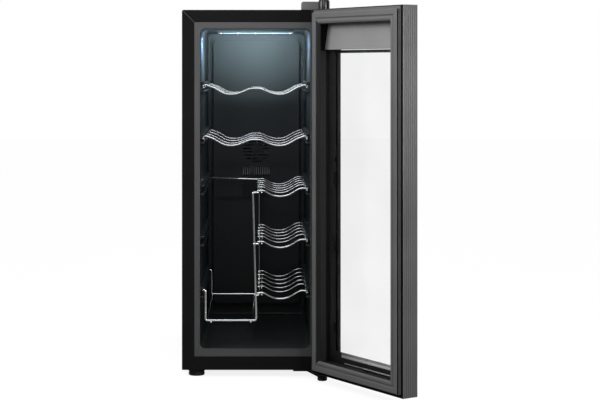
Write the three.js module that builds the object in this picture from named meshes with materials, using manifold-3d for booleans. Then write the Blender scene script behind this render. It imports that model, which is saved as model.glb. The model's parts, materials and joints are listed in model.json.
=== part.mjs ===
// A slim free-standing thermoelectric wine cooler with its glass door open.
// Millimetres, +Z up. X runs to the right, Y towards the back; the cabinet's front face is Y = 0
// and its feet stand on Z = 0. The finished group is then centred over its own footprint.
import * as THREE from 'three';
import { mergeVertices } from 'three/addons/utils/BufferGeometryUtils.js';
import Module from 'manifold-3d';

const wasm = await Module();
wasm.setup();

// ---------------------------------------------------------------- driving dimensions

// General fits
const seat = 0.3;                  // gap left between two pieces that rest on each other
const cutterReach = 1;             // how far a cutting block runs past the face that it cuts

// Cabinet
const cabinetWidth = 252;
const cabinetHeight = 619;
const cabinetDepth = 472;
const sheet = 1.2;                 // folded steel
const cabinetCornerRadius = 3;
const flangeWidth = 21;            // front flange at the sides and the top
const sillHeight = 23;             // front flange below the mouth
const mitreGap = 0.6;
const footHeight = 12;
const footRadius = 14.5;
const footInsetX = 24.5;
const footInsetY = 22;
const footRound = 3;
const returnWidth = 12;            // flange at the back that the rear panel is screwed to
const rearScrewDrop = 26;          // rear screws from the panel's top and bottom

// Rim and liner
const rimWidth = 10;               // plastic rim between the flange and the liner, at the sides
const rimHead = 11.6;
const rimSill = 13.4;
const rimThickness = 2;
const rimTuck = 3;                 // tongue that tucks behind the flange
const rimBead = 1.8;               // raised edge round the mouth
const mouthRadius = 9;
const linerWall = 2;
const machineDepth = 72;           // compartment for the hot side, behind the foam
const foamBehind = 28;             // foam behind the liner
const ribReach = 7;                // how far a shelf rib stands off the wall
const ribThickness = 4;
const ribStart = 8;
const ribBackGap = 42;             // ribs' ends to the liner's back
const channelHeight = 10.6;        // clear height between the two ribs of a pair

// Shelves
const shelfDrop = 98.4;            // liner ceiling to the top shelf
const floorBay = 97.6;             // liner floor to the lowest shelf
const fullShelfCount = 2;
const halfShelfCount = 3;
const shelfFront = 15;             // the front wire's place behind the cabinet's face
const firstGap = 70;               // front wire to the second wire
const shelfBackGap = 46;           // last wire to the duct cover
const wiresBehind = 6;             // cross wires behind the front one
const frontWireRadius = 2.1;
const crossWireRadius = 1.6;
const railRadius = 2;
const sideClearance = 4;           // shelf end to liner wall
const troughSpan = 41;             // a trough's distance from the cabinet's middle plane
const troughDepth = 14.5;
const crestDrop = 4.5;
const shoulderDrop = 2;

// Standing-bottle rack
const rackWireRadius = 2.15;
const rackTieRadius = 1.7;
const rackFront = 8;
const rackBehind = 10;             // rack's back wire behind the ends of the shelves
const rackBaseHeight = 44.6;       // bottom bar above the liner floor
const rackSideGap = 9.5;           // left leg to the liner's wall
const rackLegLean = 6;             // the right leg's lean to the left over its height
const rackLegFoot = 2;             // the right leg's foot, right of the middle plane
const rackRailX = 6;               // rails that carry the half shelves
const rackBend = 7;
const halfShelfStart = 3.6;        // left ends of the half shelves' wires
const halfShelfFall = 2;           // left end lies this much lower than the right

// Door
const doorDepth = 29.6;
const doorGap = 6;                 // filled by the gasket
const doorTopGap = 0.6;
const doorBottomGap = 1.4;
const doorRail = 21;
const doorLip = 1.5;               // frame showing round the outer glass
const glassThickness = 3.2;
const glassGap = 3.8;
const spacerWidth = 8;
const spacerInset = 2.4;
const ridgeCount = 7;
const ridgeDepth = 0.7;
const ridgeWidth = 0.9;
const backGrooveWidth = 2.6;
const backGrooveDepth = 2.6;
const backGrooveInset = 1;
const edgeChamfer = 0.7;
const gasketInset = 8;
const gasketWidth = 21;
const doorOpening = 122.8;         // degrees

// Controls behind the top of the outer glass
const housingHeight = 48;
const housingFace = 41;            // height of the sloping face
const housingProud = 6.6;          // how far its lower edge stands off the inner glass
const housingWall = 2;
const boardWidth = 120;
const boardHeight = 34;
const boardThickness = 1.6;

// Hinges
const hingeInset = 8.8;            // axis from the cabinet's side
const hingeForward = 26.1;         // axis in front of the cabinet
const pinRadius = 3;
const pinReach = 14;               // length of pin inside the door
const pinCollar = 1.1;             // lower pin's collar, between the bracket and the door
const bushRadius = 5;
const bushClearance = 0.2;
const hingePlate = 2.5;
const hingeEyeRadius = 7;          // round end of the steel plates, about the axis
const plateInset = 4;              // steel plate inside the cover, all round
const bracketLength = 52;          // lower bracket, left of the axis
const bracketShoulder = 3;
const bracketFlare = 20;           // its left edge runs out to the eye over this much
const bracketEyeRadius = 8.6;
const gussetLow = 5;               // lowest point of the gusset beside the hinge foot
const bracketSkin = 1;             // metal left above the stud of the hinge foot
const hingeCoverHeight = 13.7;
const hingeCoverWall = 1.6;
const hingeCoverLeft = 46.5;       // left end from the cabinet's side
const hingeCoverBack = 34;
const hingeBarrelRadius = 9.8;
const hingeCoverRound = 3.5;
const hingeDomeHeight = 4;
const topScrewPlaces = [[27, 12], [14, 24], [1, 12]];   // left of the axis, behind the cabinet's face
const bottomScrewPlaces = [[42, 18], [8, 24]];
const screwRadius = 2;
const screwHeadRadius = 4;
const screwHeadHeight = 2;
const screwLength = 11;
const screwHeadEdge = 1.2;
const screwSides = 6;
const pinSides = 12;
const hingeFootLeft = 3;           // hinge foot's stud left of the hinge axis
const hingeFootAhead = 2.5;        // and in front of it
const hingeFootRadius = 8.4;
const hingeFootSides = 18;

// Cooling
const ductDepth = 16;              // cover plate stands off the liner's back wall
const ductSideGap = 11;            // duct cover to the liner's side walls
const ductTopGap = 12.4;
const ductBottomGap = 24;
const ductWall = 2;
const ductRadius = 8;
const coolerDrop = 226;            // liner ceiling to the module's centre
const coldFanSize = 60;
const coldFanDepth = 11;
const hotFanSize = 80;
const hotFanDepth = 15;
const fanTipGap = 1.2;
const fanBlades = 7;
const fanHubShare = 0.36;
const fanWall = 1.5;
const fanSpoke = 2;                // thickness of the spokes behind the blades
const fanSides = 28;
const bladeSweep = 0.16;           // radians from one blade section to the next
const bladeSpread = 0.38;          // half of a blade's angular width
const bladeSkin = 0.07;
const coldSinkWidth = 80;
const coldSinkHeight = 100;
const coldFinDepth = 14;
const coldFins = 12;
const hotSinkWidth = 104;
const hotSinkHeight = 130;
const hotFinDepth = 20;
const hotFins = 16;
const sinkBase = 4;
const finThickness = 1.4;
const peltierSize = 40;
const peltierThickness = 3.8;
const grilleRings = 3;
const grilleRingPitch = 11;
const grilleBar = 2.6;
const grilleSlot = 2.4;
const grillePitch = 6.4;
const louvreWidth = 1.8;
const louvrePitch = 4.2;
const louvreHeight = 62;
const louvreCount = 13;
const coolerBayGap = 5;            // foam to cold sink, all round
const windowGap = 4;               // compartment wall to module
const fanScrewInset = 4;
const fanScrewRadius = 1.8;
const fanSpokeWidth = 3;

// Rear panel
const ventWidth = 5;
const ventPitch = 14;
const upperVent = { x: 0, drop: 52, height: 40, count: 11 };
const lowerVent = { x: -35, rise: 30, height: 30, count: 7 };
const fanGrilleWall = 3;           // rim, and the lip that holds it in the panel

// Light bar, sensor, electrics
const lightLength = 134;
const lightWidth = 16;
const lightHeight = 5;
const lightBack = 105;
const ledCount = 5;
const ledPitch = 31.5;
const ledSize = 3;
const lightWall = 1.5;
const ledBoard = 0.8;
const lensThickness = 1.2;
const clipWidth = 20;
const clipHeight = 26;
const clipReach = 7;
const clipBack = 70;               // sensor clip from the liner's back wall
const clipRise = 50;               // and above the top shelf
const clipSlot = 2;
const clipSlotPitch = 6;
const inletWidth = 27;
const inletHeight = 20;
const inletFlange = 5;
const inletFlangeThickness = 2;
const inletDepth = 24;
const inletWall = 2;
const inletCorner = 4;
const inletSocketDepth = 16;
const inletInset = 42;             // inlet from the right edge of the rear panel
const inletRise = 44;              // and above the bottom pan
const pinSpread = 7;
const pinStagger = 5;
const pinLength = 14;
const pinHeight = 4;
const pinThickness = 2;
const powerBoardWidth = 90;
const powerBoardHeight = 130;
const powerBoardX = -40;
const powerBoardRise = 150;
const standOff = 8;
const standOffRadius = 3;
const standOffInset = 6;
const transformerCase = { left: -30, right: 4, low: -24, high: 12, tall: 26 };
const transformerCore = { left: -22, right: -4, low: -30, high: 18, tall: 30 };
const heatPlate = { left: 16, right: 19, low: -44, high: 4, tall: 24 };
const relay = { left: 24, right: 40, low: -50, high: -22, tall: 15 };
const capacitorPlaces = [[20, 40], [32, 24], [-28, 44]];
const capacitorRadius = 8;
const capacitorHeight = 22;

// ---------------------------------------------------------------- derived places

const halfWidth = cabinetWidth / 2;
const bottomZ = footHeight;
const topZ = footHeight + cabinetHeight;
const mouth = {
  half: halfWidth - flangeWidth - rimWidth,
  bottom: bottomZ + sillHeight + rimSill,
  top: topZ - flangeWidth - rimHead,
};
const shelfCount = fullShelfCount + halfShelfCount;
const shelfPitch = (mouth.top - shelfDrop - mouth.bottom - floorBay) / (shelfCount - 1);
const levels = Array.from({ length: shelfCount }, (_, index) => mouth.top - shelfDrop - index * shelfPitch);
const shelfReach = mouth.half - sideClearance;
const railDrop = crossWireRadius + railRadius * 0.8;   // rail centre below the wires' centre
const foamDepth = cabinetDepth - machineDepth;
const linerDepth = foamDepth - foamBehind;
const linerBack = linerDepth + linerWall;
const ribEnd = linerDepth - ribBackGap;
const ductHalfWidth = mouth.half - ductSideGap;
const foamHalf = halfWidth - sheet - seat;
const coolerZ = mouth.top - coolerDrop;
const ductFront = linerDepth - ductDepth;
const compartmentFront = foamDepth + seat;
const compartmentBack = compartmentFront + sheet;
const rearPanelBack = cabinetDepth - seat;
const rearPanelFront = rearPanelBack - sheet;
const returnBack = rearPanelFront - seat;

const doorBack = -doorGap;
const doorFront = -doorGap - doorDepth;
const doorTop = topZ - doorTopGap;
const doorBottom = bottomZ + doorBottomGap;
const doorMiddle = (doorTop + doorBottom) / 2;
const doorHalfHeight = (doorTop - doorBottom) / 2;
const openingHalfWidth = halfWidth - doorRail;
const openingHalfHeight = doorHalfHeight - doorRail;
const outerGlassBack = doorFront + glassThickness;
const innerGlassFront = outerGlassBack + glassGap;
const innerGlassBack = innerGlassFront + glassThickness;
const hingeX = halfWidth - hingeInset;
const hingeY = -hingeForward;

// ---------------------------------------------------------------- shape helpers

/** Leaves only the corners of a closed mesh, shared between faces, with the faces pointing out. */
function tidy(geometry) {
  const bare = geometry.clone();
  bare.deleteAttribute('normal');
  bare.deleteAttribute('uv');
  const merged = mergeVertices(bare, 1e-4);
  const corners = merged.index.array;
  const kept = [];
  for (let i = 0; i < corners.length; i += 3) {
    const [a, b, c] = [corners[i], corners[i + 1], corners[i + 2]];
    if (a !== b && b !== c && c !== a) kept.push(a, b, c);
  }
  const p = merged.attributes.position;
  const corner = (index) => new THREE.Vector3().fromBufferAttribute(p, index);
  let volume = 0;
  for (let i = 0; i < kept.length; i += 3) {
    volume += corner(kept[i]).dot(corner(kept[i + 1]).cross(corner(kept[i + 2])));
  }
  if (volume < 0) kept.reverse();
  merged.setIndex(kept);
  return merged;
}

function toSolid(geometry) {
  const closed = tidy(geometry);
  return new wasm.Manifold(new wasm.Mesh({
    numProp: 3,
    vertProperties: new Float32Array(closed.attributes.position.array),
    triVerts: new Uint32Array(closed.index.array),
  }));
}

function toGeometry(solid) {
  const mesh = solid.getMesh();
  const geometry = new THREE.BufferGeometry();
  geometry.setAttribute('position', new THREE.BufferAttribute(new Float32Array(mesh.vertProperties), 3));
  geometry.setIndex(Array.from(mesh.triVerts));
  return geometry;
}

const join = (...parts) => toGeometry(parts.map(toSolid).reduce((sum, part) => sum.add(part)));
const cut = (body, ...tools) =>
  toGeometry(tools.map(toSolid).reduce((rest, tool) => rest.subtract(tool), toSolid(body)));

/** A box between two corners. */
function block(x0, x1, y0, y1, z0, z1) {
  return new THREE.BoxGeometry(x1 - x0, y1 - y0, z1 - z0)
    .translate((x0 + x1) / 2, (y0 + y1) / 2, (z0 + z1) / 2);
}

/** Points on an arc from one angle to another, both ends included. */
function arc(x, y, radius, from, to, steps) {
  return Array.from({ length: steps + 1 }, (_, index) => {
    const angle = from + (to - from) * index / steps;
    return [x + radius * Math.cos(angle), y + radius * Math.sin(angle)];
  });
}

function polygon(points, Kind = THREE.Shape) {
  return new Kind(points.map(([x, y]) => new THREE.Vector2(x, y)));
}

const circle = (x, y, radius, sides, Kind = THREE.Shape) =>
  polygon(arc(x, y, radius, 0, 2 * Math.PI, sides).slice(1), Kind);

/** A rectangle with round corners, or chamfered ones when it takes one step. */
function roundedRect(x0, x1, y0, y1, radius, steps = 1, Kind = THREE.Shape) {
  const quarter = Math.PI / 2;
  return polygon([
    ...arc(x1 - radius, y0 + radius, radius, -quarter, 0, steps),
    ...arc(x1 - radius, y1 - radius, radius, 0, quarter, steps),
    ...arc(x0 + radius, y1 - radius, radius, quarter, 2 * quarter, steps),
    ...arc(x0 + radius, y0 + radius, radius, 2 * quarter, 3 * quarter, steps),
  ], Kind);
}

const rect = (x0, x1, y0, y1, Kind = THREE.Shape) => polygon([[x0, y0], [x1, y0], [x1, y1], [x0, y1]], Kind);

function withHoles(shape, ...holes) {
  shape.holes.push(...holes);
  return shape;
}

const extrude = (shape, length) => new THREE.ExtrudeGeometry(shape, { depth: length, bevelEnabled: false });

/** Extrudes a front-view shape (X, Z) along Y. */
const panel = (shape, y0, y1) => extrude(shape, y1 - y0).rotateX(Math.PI / 2).translate(0, y1, 0);

/** Extrudes a plan shape (X, Y) along Z. */
const slab = (shape, z0, z1) => extrude(shape, z1 - z0).translate(0, 0, z0);

/** Extrudes a side-view shape (Y, Z) along X. */
function strip(shape, x0, x1) {
  const basis = new THREE.Matrix4().makeBasis(
    new THREE.Vector3(0, 1, 0), new THREE.Vector3(0, 0, 1), new THREE.Vector3(1, 0, 0));
  return extrude(shape, x1 - x0).applyMatrix4(basis).translate(x0, 0, 0);
}

/** Revolves [radius, height] points about a vertical axis at (x, y). */
function turned(points, x, y, sides = 24) {
  return new THREE.LatheGeometry(points.map(([r, z]) => new THREE.Vector2(r, z)), sides)
    .rotateX(Math.PI / 2).translate(x, y, 0);
}

const rod = (radius, x, y, z0, z1, sides = pinSides) =>
  turned([[0, z0], [radius, z0], [radius, z1], [0, z1]], x, y, sides);

/** A rod along Y at (x, z). */
function bar(radius, x, z, y0, y1, sides = 16) {
  return new THREE.CylinderGeometry(radius, radius, y1 - y0, sides).translate(x, (y0 + y1) / 2, z);
}

/** Skins a list of equal rings of points; open ends are capped. */
function loft(rings, closed) {
  const count = rings[0].length;
  const positions = rings.flat().flatMap((point) => [point.x, point.y, point.z]);
  const faces = [];
  const spans = closed ? rings.length : rings.length - 1;
  for (let i = 0; i < spans; i += 1) {
    const next = (i + 1) % rings.length;
    for (let j = 0; j < count; j += 1) {
      const [a, b] = [i * count + j, i * count + (j + 1) % count];
      const [c, d] = [next * count + j, next * count + (j + 1) % count];
      faces.push(a, b, d, a, d, c);
    }
  }
  if (!closed) {
    const last = (rings.length - 1) * count;
    for (let j = 1; j < count - 1; j += 1) faces.push(0, j + 1, j, last, last + j, last + j + 1);
  }
  const geometry = new THREE.BufferGeometry();
  geometry.setAttribute('position', new THREE.Float32BufferAttribute(positions, 3));
  geometry.setIndex(faces);
  return tidy(geometry);
}

/** Runs a profile of [outward, y] points round a rectangle in the front plane, with mitred corners. */
function mitredFrame(profile, frameHalfWidth, frameHalfHeight, middleZ) {
  const corners = [[1, 1], [-1, 1], [-1, -1], [1, -1]];
  const rings = corners.map(([sideX, sideZ]) => profile.map(([outward, y]) => new THREE.Vector3(
    sideX * (frameHalfWidth + outward), y, middleZ + sideZ * (frameHalfHeight + outward))));
  return loft(rings, true);
}

/** A bent wire's centre line, given by the points it passes through. */
class WirePath extends THREE.Curve {
  constructor(points) {
    super();
    this.points = points;
  }

  getPoint(t, target = new THREE.Vector3()) {
    const place = t * (this.points.length - 1);
    const index = Math.min(Math.floor(place + 1e-6), this.points.length - 2);
    return target.lerpVectors(this.points[index], this.points[index + 1], place - index);
  }

  getPointAt(t, target) {
    return this.getPoint(t, target);
  }

  getTangentAt(t, target = new THREE.Vector3()) {
    const index = Math.round(t * (this.points.length - 1));
    const here = this.points[index];
    const before = this.points[index - 1] ?? here;
    const after = this.points[index + 1] ?? here;
    const arriving = new THREE.Vector3().subVectors(here, before).normalize();
    const leaving = new THREE.Vector3().subVectors(after, here).normalize();
    return target.addVectors(arriving, leaving).normalize();
  }
}

function wire(points, radius, sides = 6) {
  return new THREE.ExtrudeGeometry(circle(0, 0, radius, sides), {
    steps: points.length - 1, bevelEnabled: false, extrudePath: new WirePath(points),
  });
}

/** Rounds the inner corners of a line of [x, y, z] points, as a wire bender does. */
function bent(corners, radius, steps = 3) {
  const points = corners.map((corner) => new THREE.Vector3(...corner));
  const path = [points[0]];
  for (let i = 1; i < points.length - 1; i += 1) {
    const towards = (other) => points[i].clone().add(other.clone().sub(points[i]).setLength(radius));
    const curve = new THREE.QuadraticBezierCurve3(
      towards(points[i - 1]), points[i], towards(points[i + 1]));
    path.push(...curve.getPoints(steps));
  }
  return [...path, points.at(-1)];
}

// ---------------------------------------------------------------- finishes

const finishes = {
  blackSteel: { color: 0x16171a, roughness: 0.45, metalness: 0.2 },
  blackPlastic: { color: 0x1c1d20, roughness: 0.5, metalness: 0 },
  greyPlastic: { color: 0x8d8d8f, roughness: 0.42, metalness: 0 },
  rimPlastic: { color: 0x3a3c40, roughness: 0.5, metalness: 0 },
  linerPlastic: { color: 0x20262a, roughness: 0.35, metalness: 0 },
  foam: { color: 0xe2d6a8, roughness: 0.95, metalness: 0 },
  galvanised: { color: 0x9ba0a3, roughness: 0.4, metalness: 1 },
  aluminium: { color: 0xc9ccce, roughness: 0.35, metalness: 1 },
  chrome: { color: 0xe4e6e8, roughness: 0.12, metalness: 1 },
  rubber: { color: 0x3f4042, roughness: 0.75, metalness: 0 },
  glass: { color: 0xdfe6e8, roughness: 0.05, metalness: 0 },
  lens: { color: 0xf2f7ff, roughness: 0.3, metalness: 0 },
  circuitBoard: { color: 0x1e5a35, roughness: 0.6, metalness: 0 },
  ceramic: { color: 0xf0f0ec, roughness: 0.6, metalness: 0 },
};

function piece(name, finish, geometry) {
  const mesh = new THREE.Mesh(tidy(geometry),
    new THREE.MeshStandardMaterial({ ...finishes[finish], flatShading: true }));
  mesh.name = name;
  return mesh;
}

// ---------------------------------------------------------------- cabinet

const beside = ([left, behind]) => [hingeX - left, behind];
const topScrews = topScrewPlaces.map(beside);
const bottomScrews = bottomScrewPlaces.map(beside);
const rearScrewX = halfWidth - sheet - returnWidth / 2;
const rearScrews = [bottomZ + rearScrewDrop, topZ - rearScrewDrop]
  .flatMap((z) => [[-rearScrewX, z], [rearScrewX, z]]);

const screwHole = (x, y, z0, z1) => rod(screwRadius + seat, x, y, z0, z1, screwSides);
const rearScrewHole = (x, z) =>
  bar(screwRadius + seat, x, z, returnBack - 2 * sheet, rearPanelBack + cutterReach, screwSides);

/** Pan-head screw standing on the origin: its head is above Z = 0 and its shank below. */
function screw() {
  return turned([[0, -screwLength], [screwRadius, -screwLength], [screwRadius, 0], [screwHeadRadius, 0],
    [screwHeadRadius, screwHeadEdge], [screwHeadRadius - 1, screwHeadHeight], [0, screwHeadHeight]],
  0, 0, screwSides);
}

/** One folded sheet: two sides and a top, with front flanges that meet in mitred corners. */
function cabinetShell() {
  const inner = halfWidth - flangeWidth;
  const radius = cabinetCornerRadius;
  const crown = [
    ...arc(halfWidth - radius, topZ - radius, radius, 0, Math.PI / 2, 3),
    ...arc(-halfWidth + radius, topZ - radius, radius, Math.PI / 2, Math.PI, 3),
  ];
  const skin = polygon([
    [halfWidth - sheet, bottomZ], [halfWidth, bottomZ], ...crown, [-halfWidth, bottomZ],
    [-halfWidth + sheet, bottomZ], [-halfWidth + sheet, topZ - sheet], [halfWidth - sheet, topZ - sheet],
  ]);
  const flange = polygon([
    [inner, bottomZ + sillHeight], [halfWidth, bottomZ], ...crown, [-halfWidth, bottomZ],
    [-inner, bottomZ + sillHeight], [-inner, topZ - flangeWidth], [inner, topZ - flangeWidth],
  ]);
  const seamRun = flangeWidth - radius;
  const seams = [-1, 1].map((side) => new THREE.BoxGeometry(seamRun * Math.SQRT2, 3 * sheet, mitreGap)
    .rotateY(side * -Math.PI / 4)
    .translate(side * (inner + seamRun / 2), 0, topZ - flangeWidth + seamRun / 2));
  const returnInner = halfWidth - sheet - returnWidth;
  const returnFlange = withHoles(
    rect(-halfWidth + sheet / 2, halfWidth - sheet / 2, bottomZ, topZ - sheet / 2),
    rect(-returnInner, returnInner, bottomZ + returnWidth, topZ - sheet - returnWidth, THREE.Path));
  const holes = [
    ...topScrews.map(([x, y]) => screwHole(x, y, topZ - 2 * sheet, topZ + cutterReach)),
    ...rearScrews.map(([x, z]) => rearScrewHole(x, z)),
  ];
  const underCut = block(-returnInner, returnInner, returnBack - 2 * sheet, cabinetDepth + cutterReach,
    bottomZ - cutterReach, bottomZ + 2 * returnWidth);
  return cut(join(panel(skin, 0, cabinetDepth), panel(flange, 0, sheet),
    cut(panel(returnFlange, returnBack - sheet, returnBack), underCut)), ...seams, ...holes);
}

/** The tray under the cabinet, with the sill flange that meets the side flanges in a mitre. */
function bottomPan() {
  const reach = halfWidth - sheet - seat;
  const slope = sillHeight / flangeWidth;
  const inner = halfWidth - flangeWidth;
  const tip = bottomZ + (halfWidth - reach) * slope - mitreGap;
  const sill = polygon([
    [-reach, bottomZ], [reach, bottomZ], [reach, tip], [inner, bottomZ + sillHeight - mitreGap],
    [inner - mitreGap, bottomZ + sillHeight], [-inner + mitreGap, bottomZ + sillHeight],
    [-inner, bottomZ + sillHeight - mitreGap], [-reach, tip],
  ]);
  const tray = block(-reach, reach, 0, returnBack - sheet - seat, bottomZ, bottomZ + sheet);
  const holes = bottomScrews.map(([x, y]) => screwHole(x, y, bottomZ - cutterReach, bottomZ + 2 * sheet));
  return cut(join(tray, panel(sill, 0, sheet)), ...holes);
}

/** Plastic rim between the steel flange and the liner, tucked behind the flange. */
function mouthRim() {
  const inner = halfWidth - flangeWidth;
  const hole = mouthOutline(0, THREE.Path);
  const border = (grow) => rect(-inner - grow, inner + grow,
    bottomZ + sillHeight - grow, topZ - flangeWidth + grow);
  return join(
    panel(withHoles(border(-seat), hole), sheet / 2, rimBack),
    panel(withHoles(border(rimTuck), hole), sheet + seat, rimBack),
    panel(withHoles(mouthOutline(rimBead), hole), 0, rimBack));
}

/** The mouth's outline, grown outwards all round. */
function mouthOutline(grow, Kind = THREE.Shape) {
  return roundedRect(-mouth.half - grow, mouth.half + grow, mouth.bottom - grow, mouth.top + grow,
    mouthRadius + grow, 3, Kind);
}

const rimBack = sheet + seat + rimThickness;
const linerFront = rimBack + seat;

/** A pair of ribs per shelf on each wall; a shelf's side rail slides between the two. */
function shelfRibs() {
  return levels.flatMap((level) => {
    const floor = level - railDrop - railRadius - seat;
    const places = [floor - ribThickness, floor + channelHeight];
    return places.flatMap((z) => [-1, 1].map((side) => {
      const wall = side * (mouth.half + linerWall / 2);
      const tip = side * (mouth.half - ribReach);
      const outline = roundedRect(ribStart, ribEnd, z, z + ribThickness, ribThickness * 0.4);
      return strip(outline, Math.min(wall, tip), Math.max(wall, tip));
    }));
  });
}

/** The moulded tub that holds the bottles. */
function innerLiner() {
  const flange = roundedRect(-mouth.half - rimWidth, mouth.half + rimWidth,
    mouth.bottom - rimWidth, mouth.top + rimWidth, 1);
  const airWay = block(-coldSinkWidth / 2, coldSinkWidth / 2, linerDepth - 1, linerBack + 1,
    coolerZ - coldSinkHeight / 2, coolerZ + coldSinkHeight / 2);
  const tub = cut(
    join(panel(mouthOutline(linerWall), linerFront, linerBack),
      panel(flange, linerFront, linerFront + linerWall)),
    panel(mouthOutline(0), linerFront - 1, linerDepth), airWay);
  return join(tub, ...shelfRibs());
}

const foamFront = linerFront + linerWall + seat;
const coolerBay = { half: coldSinkWidth / 2 + coolerBayGap, halfHeight: coldSinkHeight / 2 + coolerBayGap };

/** Foam between the liner and the sheet steel, with a bay for the thermoelectric module. */
function foamBody() {
  const body = block(-foamHalf, foamHalf, foamFront, foamDepth, bottomZ + sheet + seat, topZ - sheet - seat);
  const bay = block(-coolerBay.half, coolerBay.half, linerDepth, foamDepth + 1,
    coolerZ - coolerBay.halfHeight, coolerZ + coolerBay.halfHeight);
  const pockets = [
    ...topScrews.map(([x, y]) => screwHole(x, y, topZ - screwLength - cutterReach, topZ)),
    ...bottomScrews.map(([x, y]) => screwHole(x, y, bottomZ, bottomZ + screwLength + cutterReach)),
  ];
  return cut(body, panel(mouthOutline(linerWall + seat), foamFront - 1, linerBack + seat), bay, ...pockets);
}

/** Sheet that closes the foam and carries the hot side's parts. */
function compartmentWall() {
  const half = peltierSize / 2 + windowGap;
  const wall = rect(-foamHalf, foamHalf, bottomZ + sheet + seat, topZ - sheet - seat);
  const window = rect(-half, half, coolerZ - half, coolerZ + half, THREE.Path);
  return panel(withHoles(wall, window), compartmentFront, compartmentBack);
}

const inletX = foamHalf - inletInset;
const inletZ = bottomZ + inletRise;
const fanGrilleRadius = hotFanSize / 2 + fanGrilleWall;
const grilleSides = 16;

/** A row of upright slots, as cutting blocks that run from y0 to y1. */
function slotRow(centreX, z0, z1, width, pitch, count, y0, y1) {
  return Array.from({ length: count }, (_, index) => {
    const x = centreX + (index - (count - 1) / 2) * pitch;
    return block(x - width / 2, x + width / 2, y0, y1, z0, z1);
  });
}

function rearPanel() {
  const [front, back] = [rearPanelFront - cutterReach, rearPanelBack + cutterReach];
  const sheetMetal = rect(-foamHalf, foamHalf, bottomZ + sheet + seat, topZ - sheet - seat);
  return cut(
    panel(sheetMetal, rearPanelFront, rearPanelBack),
    panel(circle(0, coolerZ, fanGrilleRadius, grilleSides), front, back),
    block(inletX - inletWidth / 2 - seat, inletX + inletWidth / 2 + seat, front, back,
      inletZ - inletHeight / 2 - seat, inletZ + inletHeight / 2 + seat),
    ...slotRow(upperVent.x, topZ - upperVent.drop - upperVent.height, topZ - upperVent.drop,
      ventWidth, ventPitch, upperVent.count, front, back),
    ...slotRow(lowerVent.x, bottomZ + lowerVent.rise, bottomZ + lowerVent.rise + lowerVent.height,
      ventWidth, ventPitch, lowerVent.count, front, back),
    ...rearScrews.map(([x, z]) => rearScrewHole(x, z)));
}

/** Round moulded grille behind the hot fan: rings on four spokes, clipped into the rear panel. */
function fanGrille() {
  const ring = (inner, outer, y0, y1) => panel(withHoles(circle(0, coolerZ, outer, grilleSides),
    circle(0, coolerZ, inner, grilleSides, THREE.Path)), y0, y1);
  const rings = Array.from({ length: grilleRings }, (_, index) => {
    const radius = grilleRingPitch * (index + 1);
    return ring(radius - grilleBar / 2, radius + grilleBar / 2, rearPanelFront, rearPanelBack);
  });
  const [rimInner, lipBack] = [fanGrilleRadius - fanGrilleWall, rearPanelFront - seat];
  const lipFront = lipBack - grilleBar;
  const rim = ring(rimInner, fanGrilleRadius - seat, lipFront, rearPanelBack);
  const lip = ring(rimInner, fanGrilleRadius + fanGrilleWall, lipFront, lipBack);
  const spokes = [1, -1].map((side) => new THREE.BoxGeometry(2 * rimInner + fanGrilleWall, sheet, grilleBar)
    .rotateY(side * Math.PI / 4).translate(0, (rearPanelFront + rearPanelBack) / 2, coolerZ));
  return join(rim, lip, ...rings, ...spokes);
}

function foot(x, y) {
  const top = footHeight - seat;
  const heel = arc(footRadius - footRound, footRound, footRound, -Math.PI / 2, 0, 2);
  return turned([[0, 0], ...heel, [footRadius, top], [0, top]], x, y, 16);
}

function buildCabinet() {
  const group = new THREE.Group();
  group.add(
    piece('cabinet_shell', 'blackSteel', cabinetShell()),
    piece('bottom_pan', 'blackSteel', bottomPan()),
    piece('mouth_rim', 'rimPlastic', mouthRim()),
    piece('inner_liner', 'linerPlastic', innerLiner()),
    piece('foam_insulation', 'foam', foamBody()),
    piece('compartment_wall', 'galvanised', compartmentWall()),
    piece('rear_panel', 'blackSteel', rearPanel()),
    piece('fan_grille', 'blackPlastic', fanGrille()),
    ...rearScrews.map(([x, z], index) => piece(`rear_panel_screw_${index + 1}`, 'galvanised',
      screw().rotateX(-Math.PI / 2).translate(x, rearPanelBack + seat, z))),
    piece('foot_front_left', 'rubber', foot(-halfWidth + footInsetX, footInsetY)),
    piece('foot_rear_left', 'rubber', foot(-halfWidth + footInsetX, cabinetDepth - footInsetY)),
    piece('foot_rear_right', 'rubber', foot(halfWidth - footInsetX, cabinetDepth - footInsetY)),
  );
  return group;
}

// ---------------------------------------------------------------- cooling

/** Cover on the liner's back wall: a tray with an air inlet over the fan and outlet louvres below. */
function ductCover() {
  const [bottom, top] = [mouth.bottom + ductBottomGap, mouth.top - ductTopGap];
  const outline = (inset, Kind) => roundedRect(-ductHalfWidth + inset, ductHalfWidth - inset,
    bottom + inset, top - inset, ductRadius - inset, 2, Kind);
  const reach = coldFanSize / 2 - 4;
  const [front, back] = [ductFront - cutterReach, ductFront + ductWall + cutterReach];
  const inlet = [];
  for (let z = -reach + grilleSlot; z < reach; z += grillePitch) {
    const half = Math.sqrt(reach * reach - z * z);
    for (const side of [-1, 1]) {
      const [near, far] = [side * grilleSlot / 2, side * half].sort((a, b) => a - b);
      inlet.push(block(near, far, front, back, coolerZ + z - grilleSlot / 2, coolerZ + z + grilleSlot / 2));
    }
  }
  const louvreTop = coolerZ - coldFanSize / 2 - 4;
  const tray = cut(panel(outline(0), ductFront, linerDepth - seat),
    panel(outline(ductWall), ductFront + ductWall, linerDepth));
  return cut(tray, ...inlet,
    ...slotRow(0, louvreTop - louvreHeight, louvreTop, louvreWidth, louvrePitch, louvreCount, front, back));
}

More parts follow.
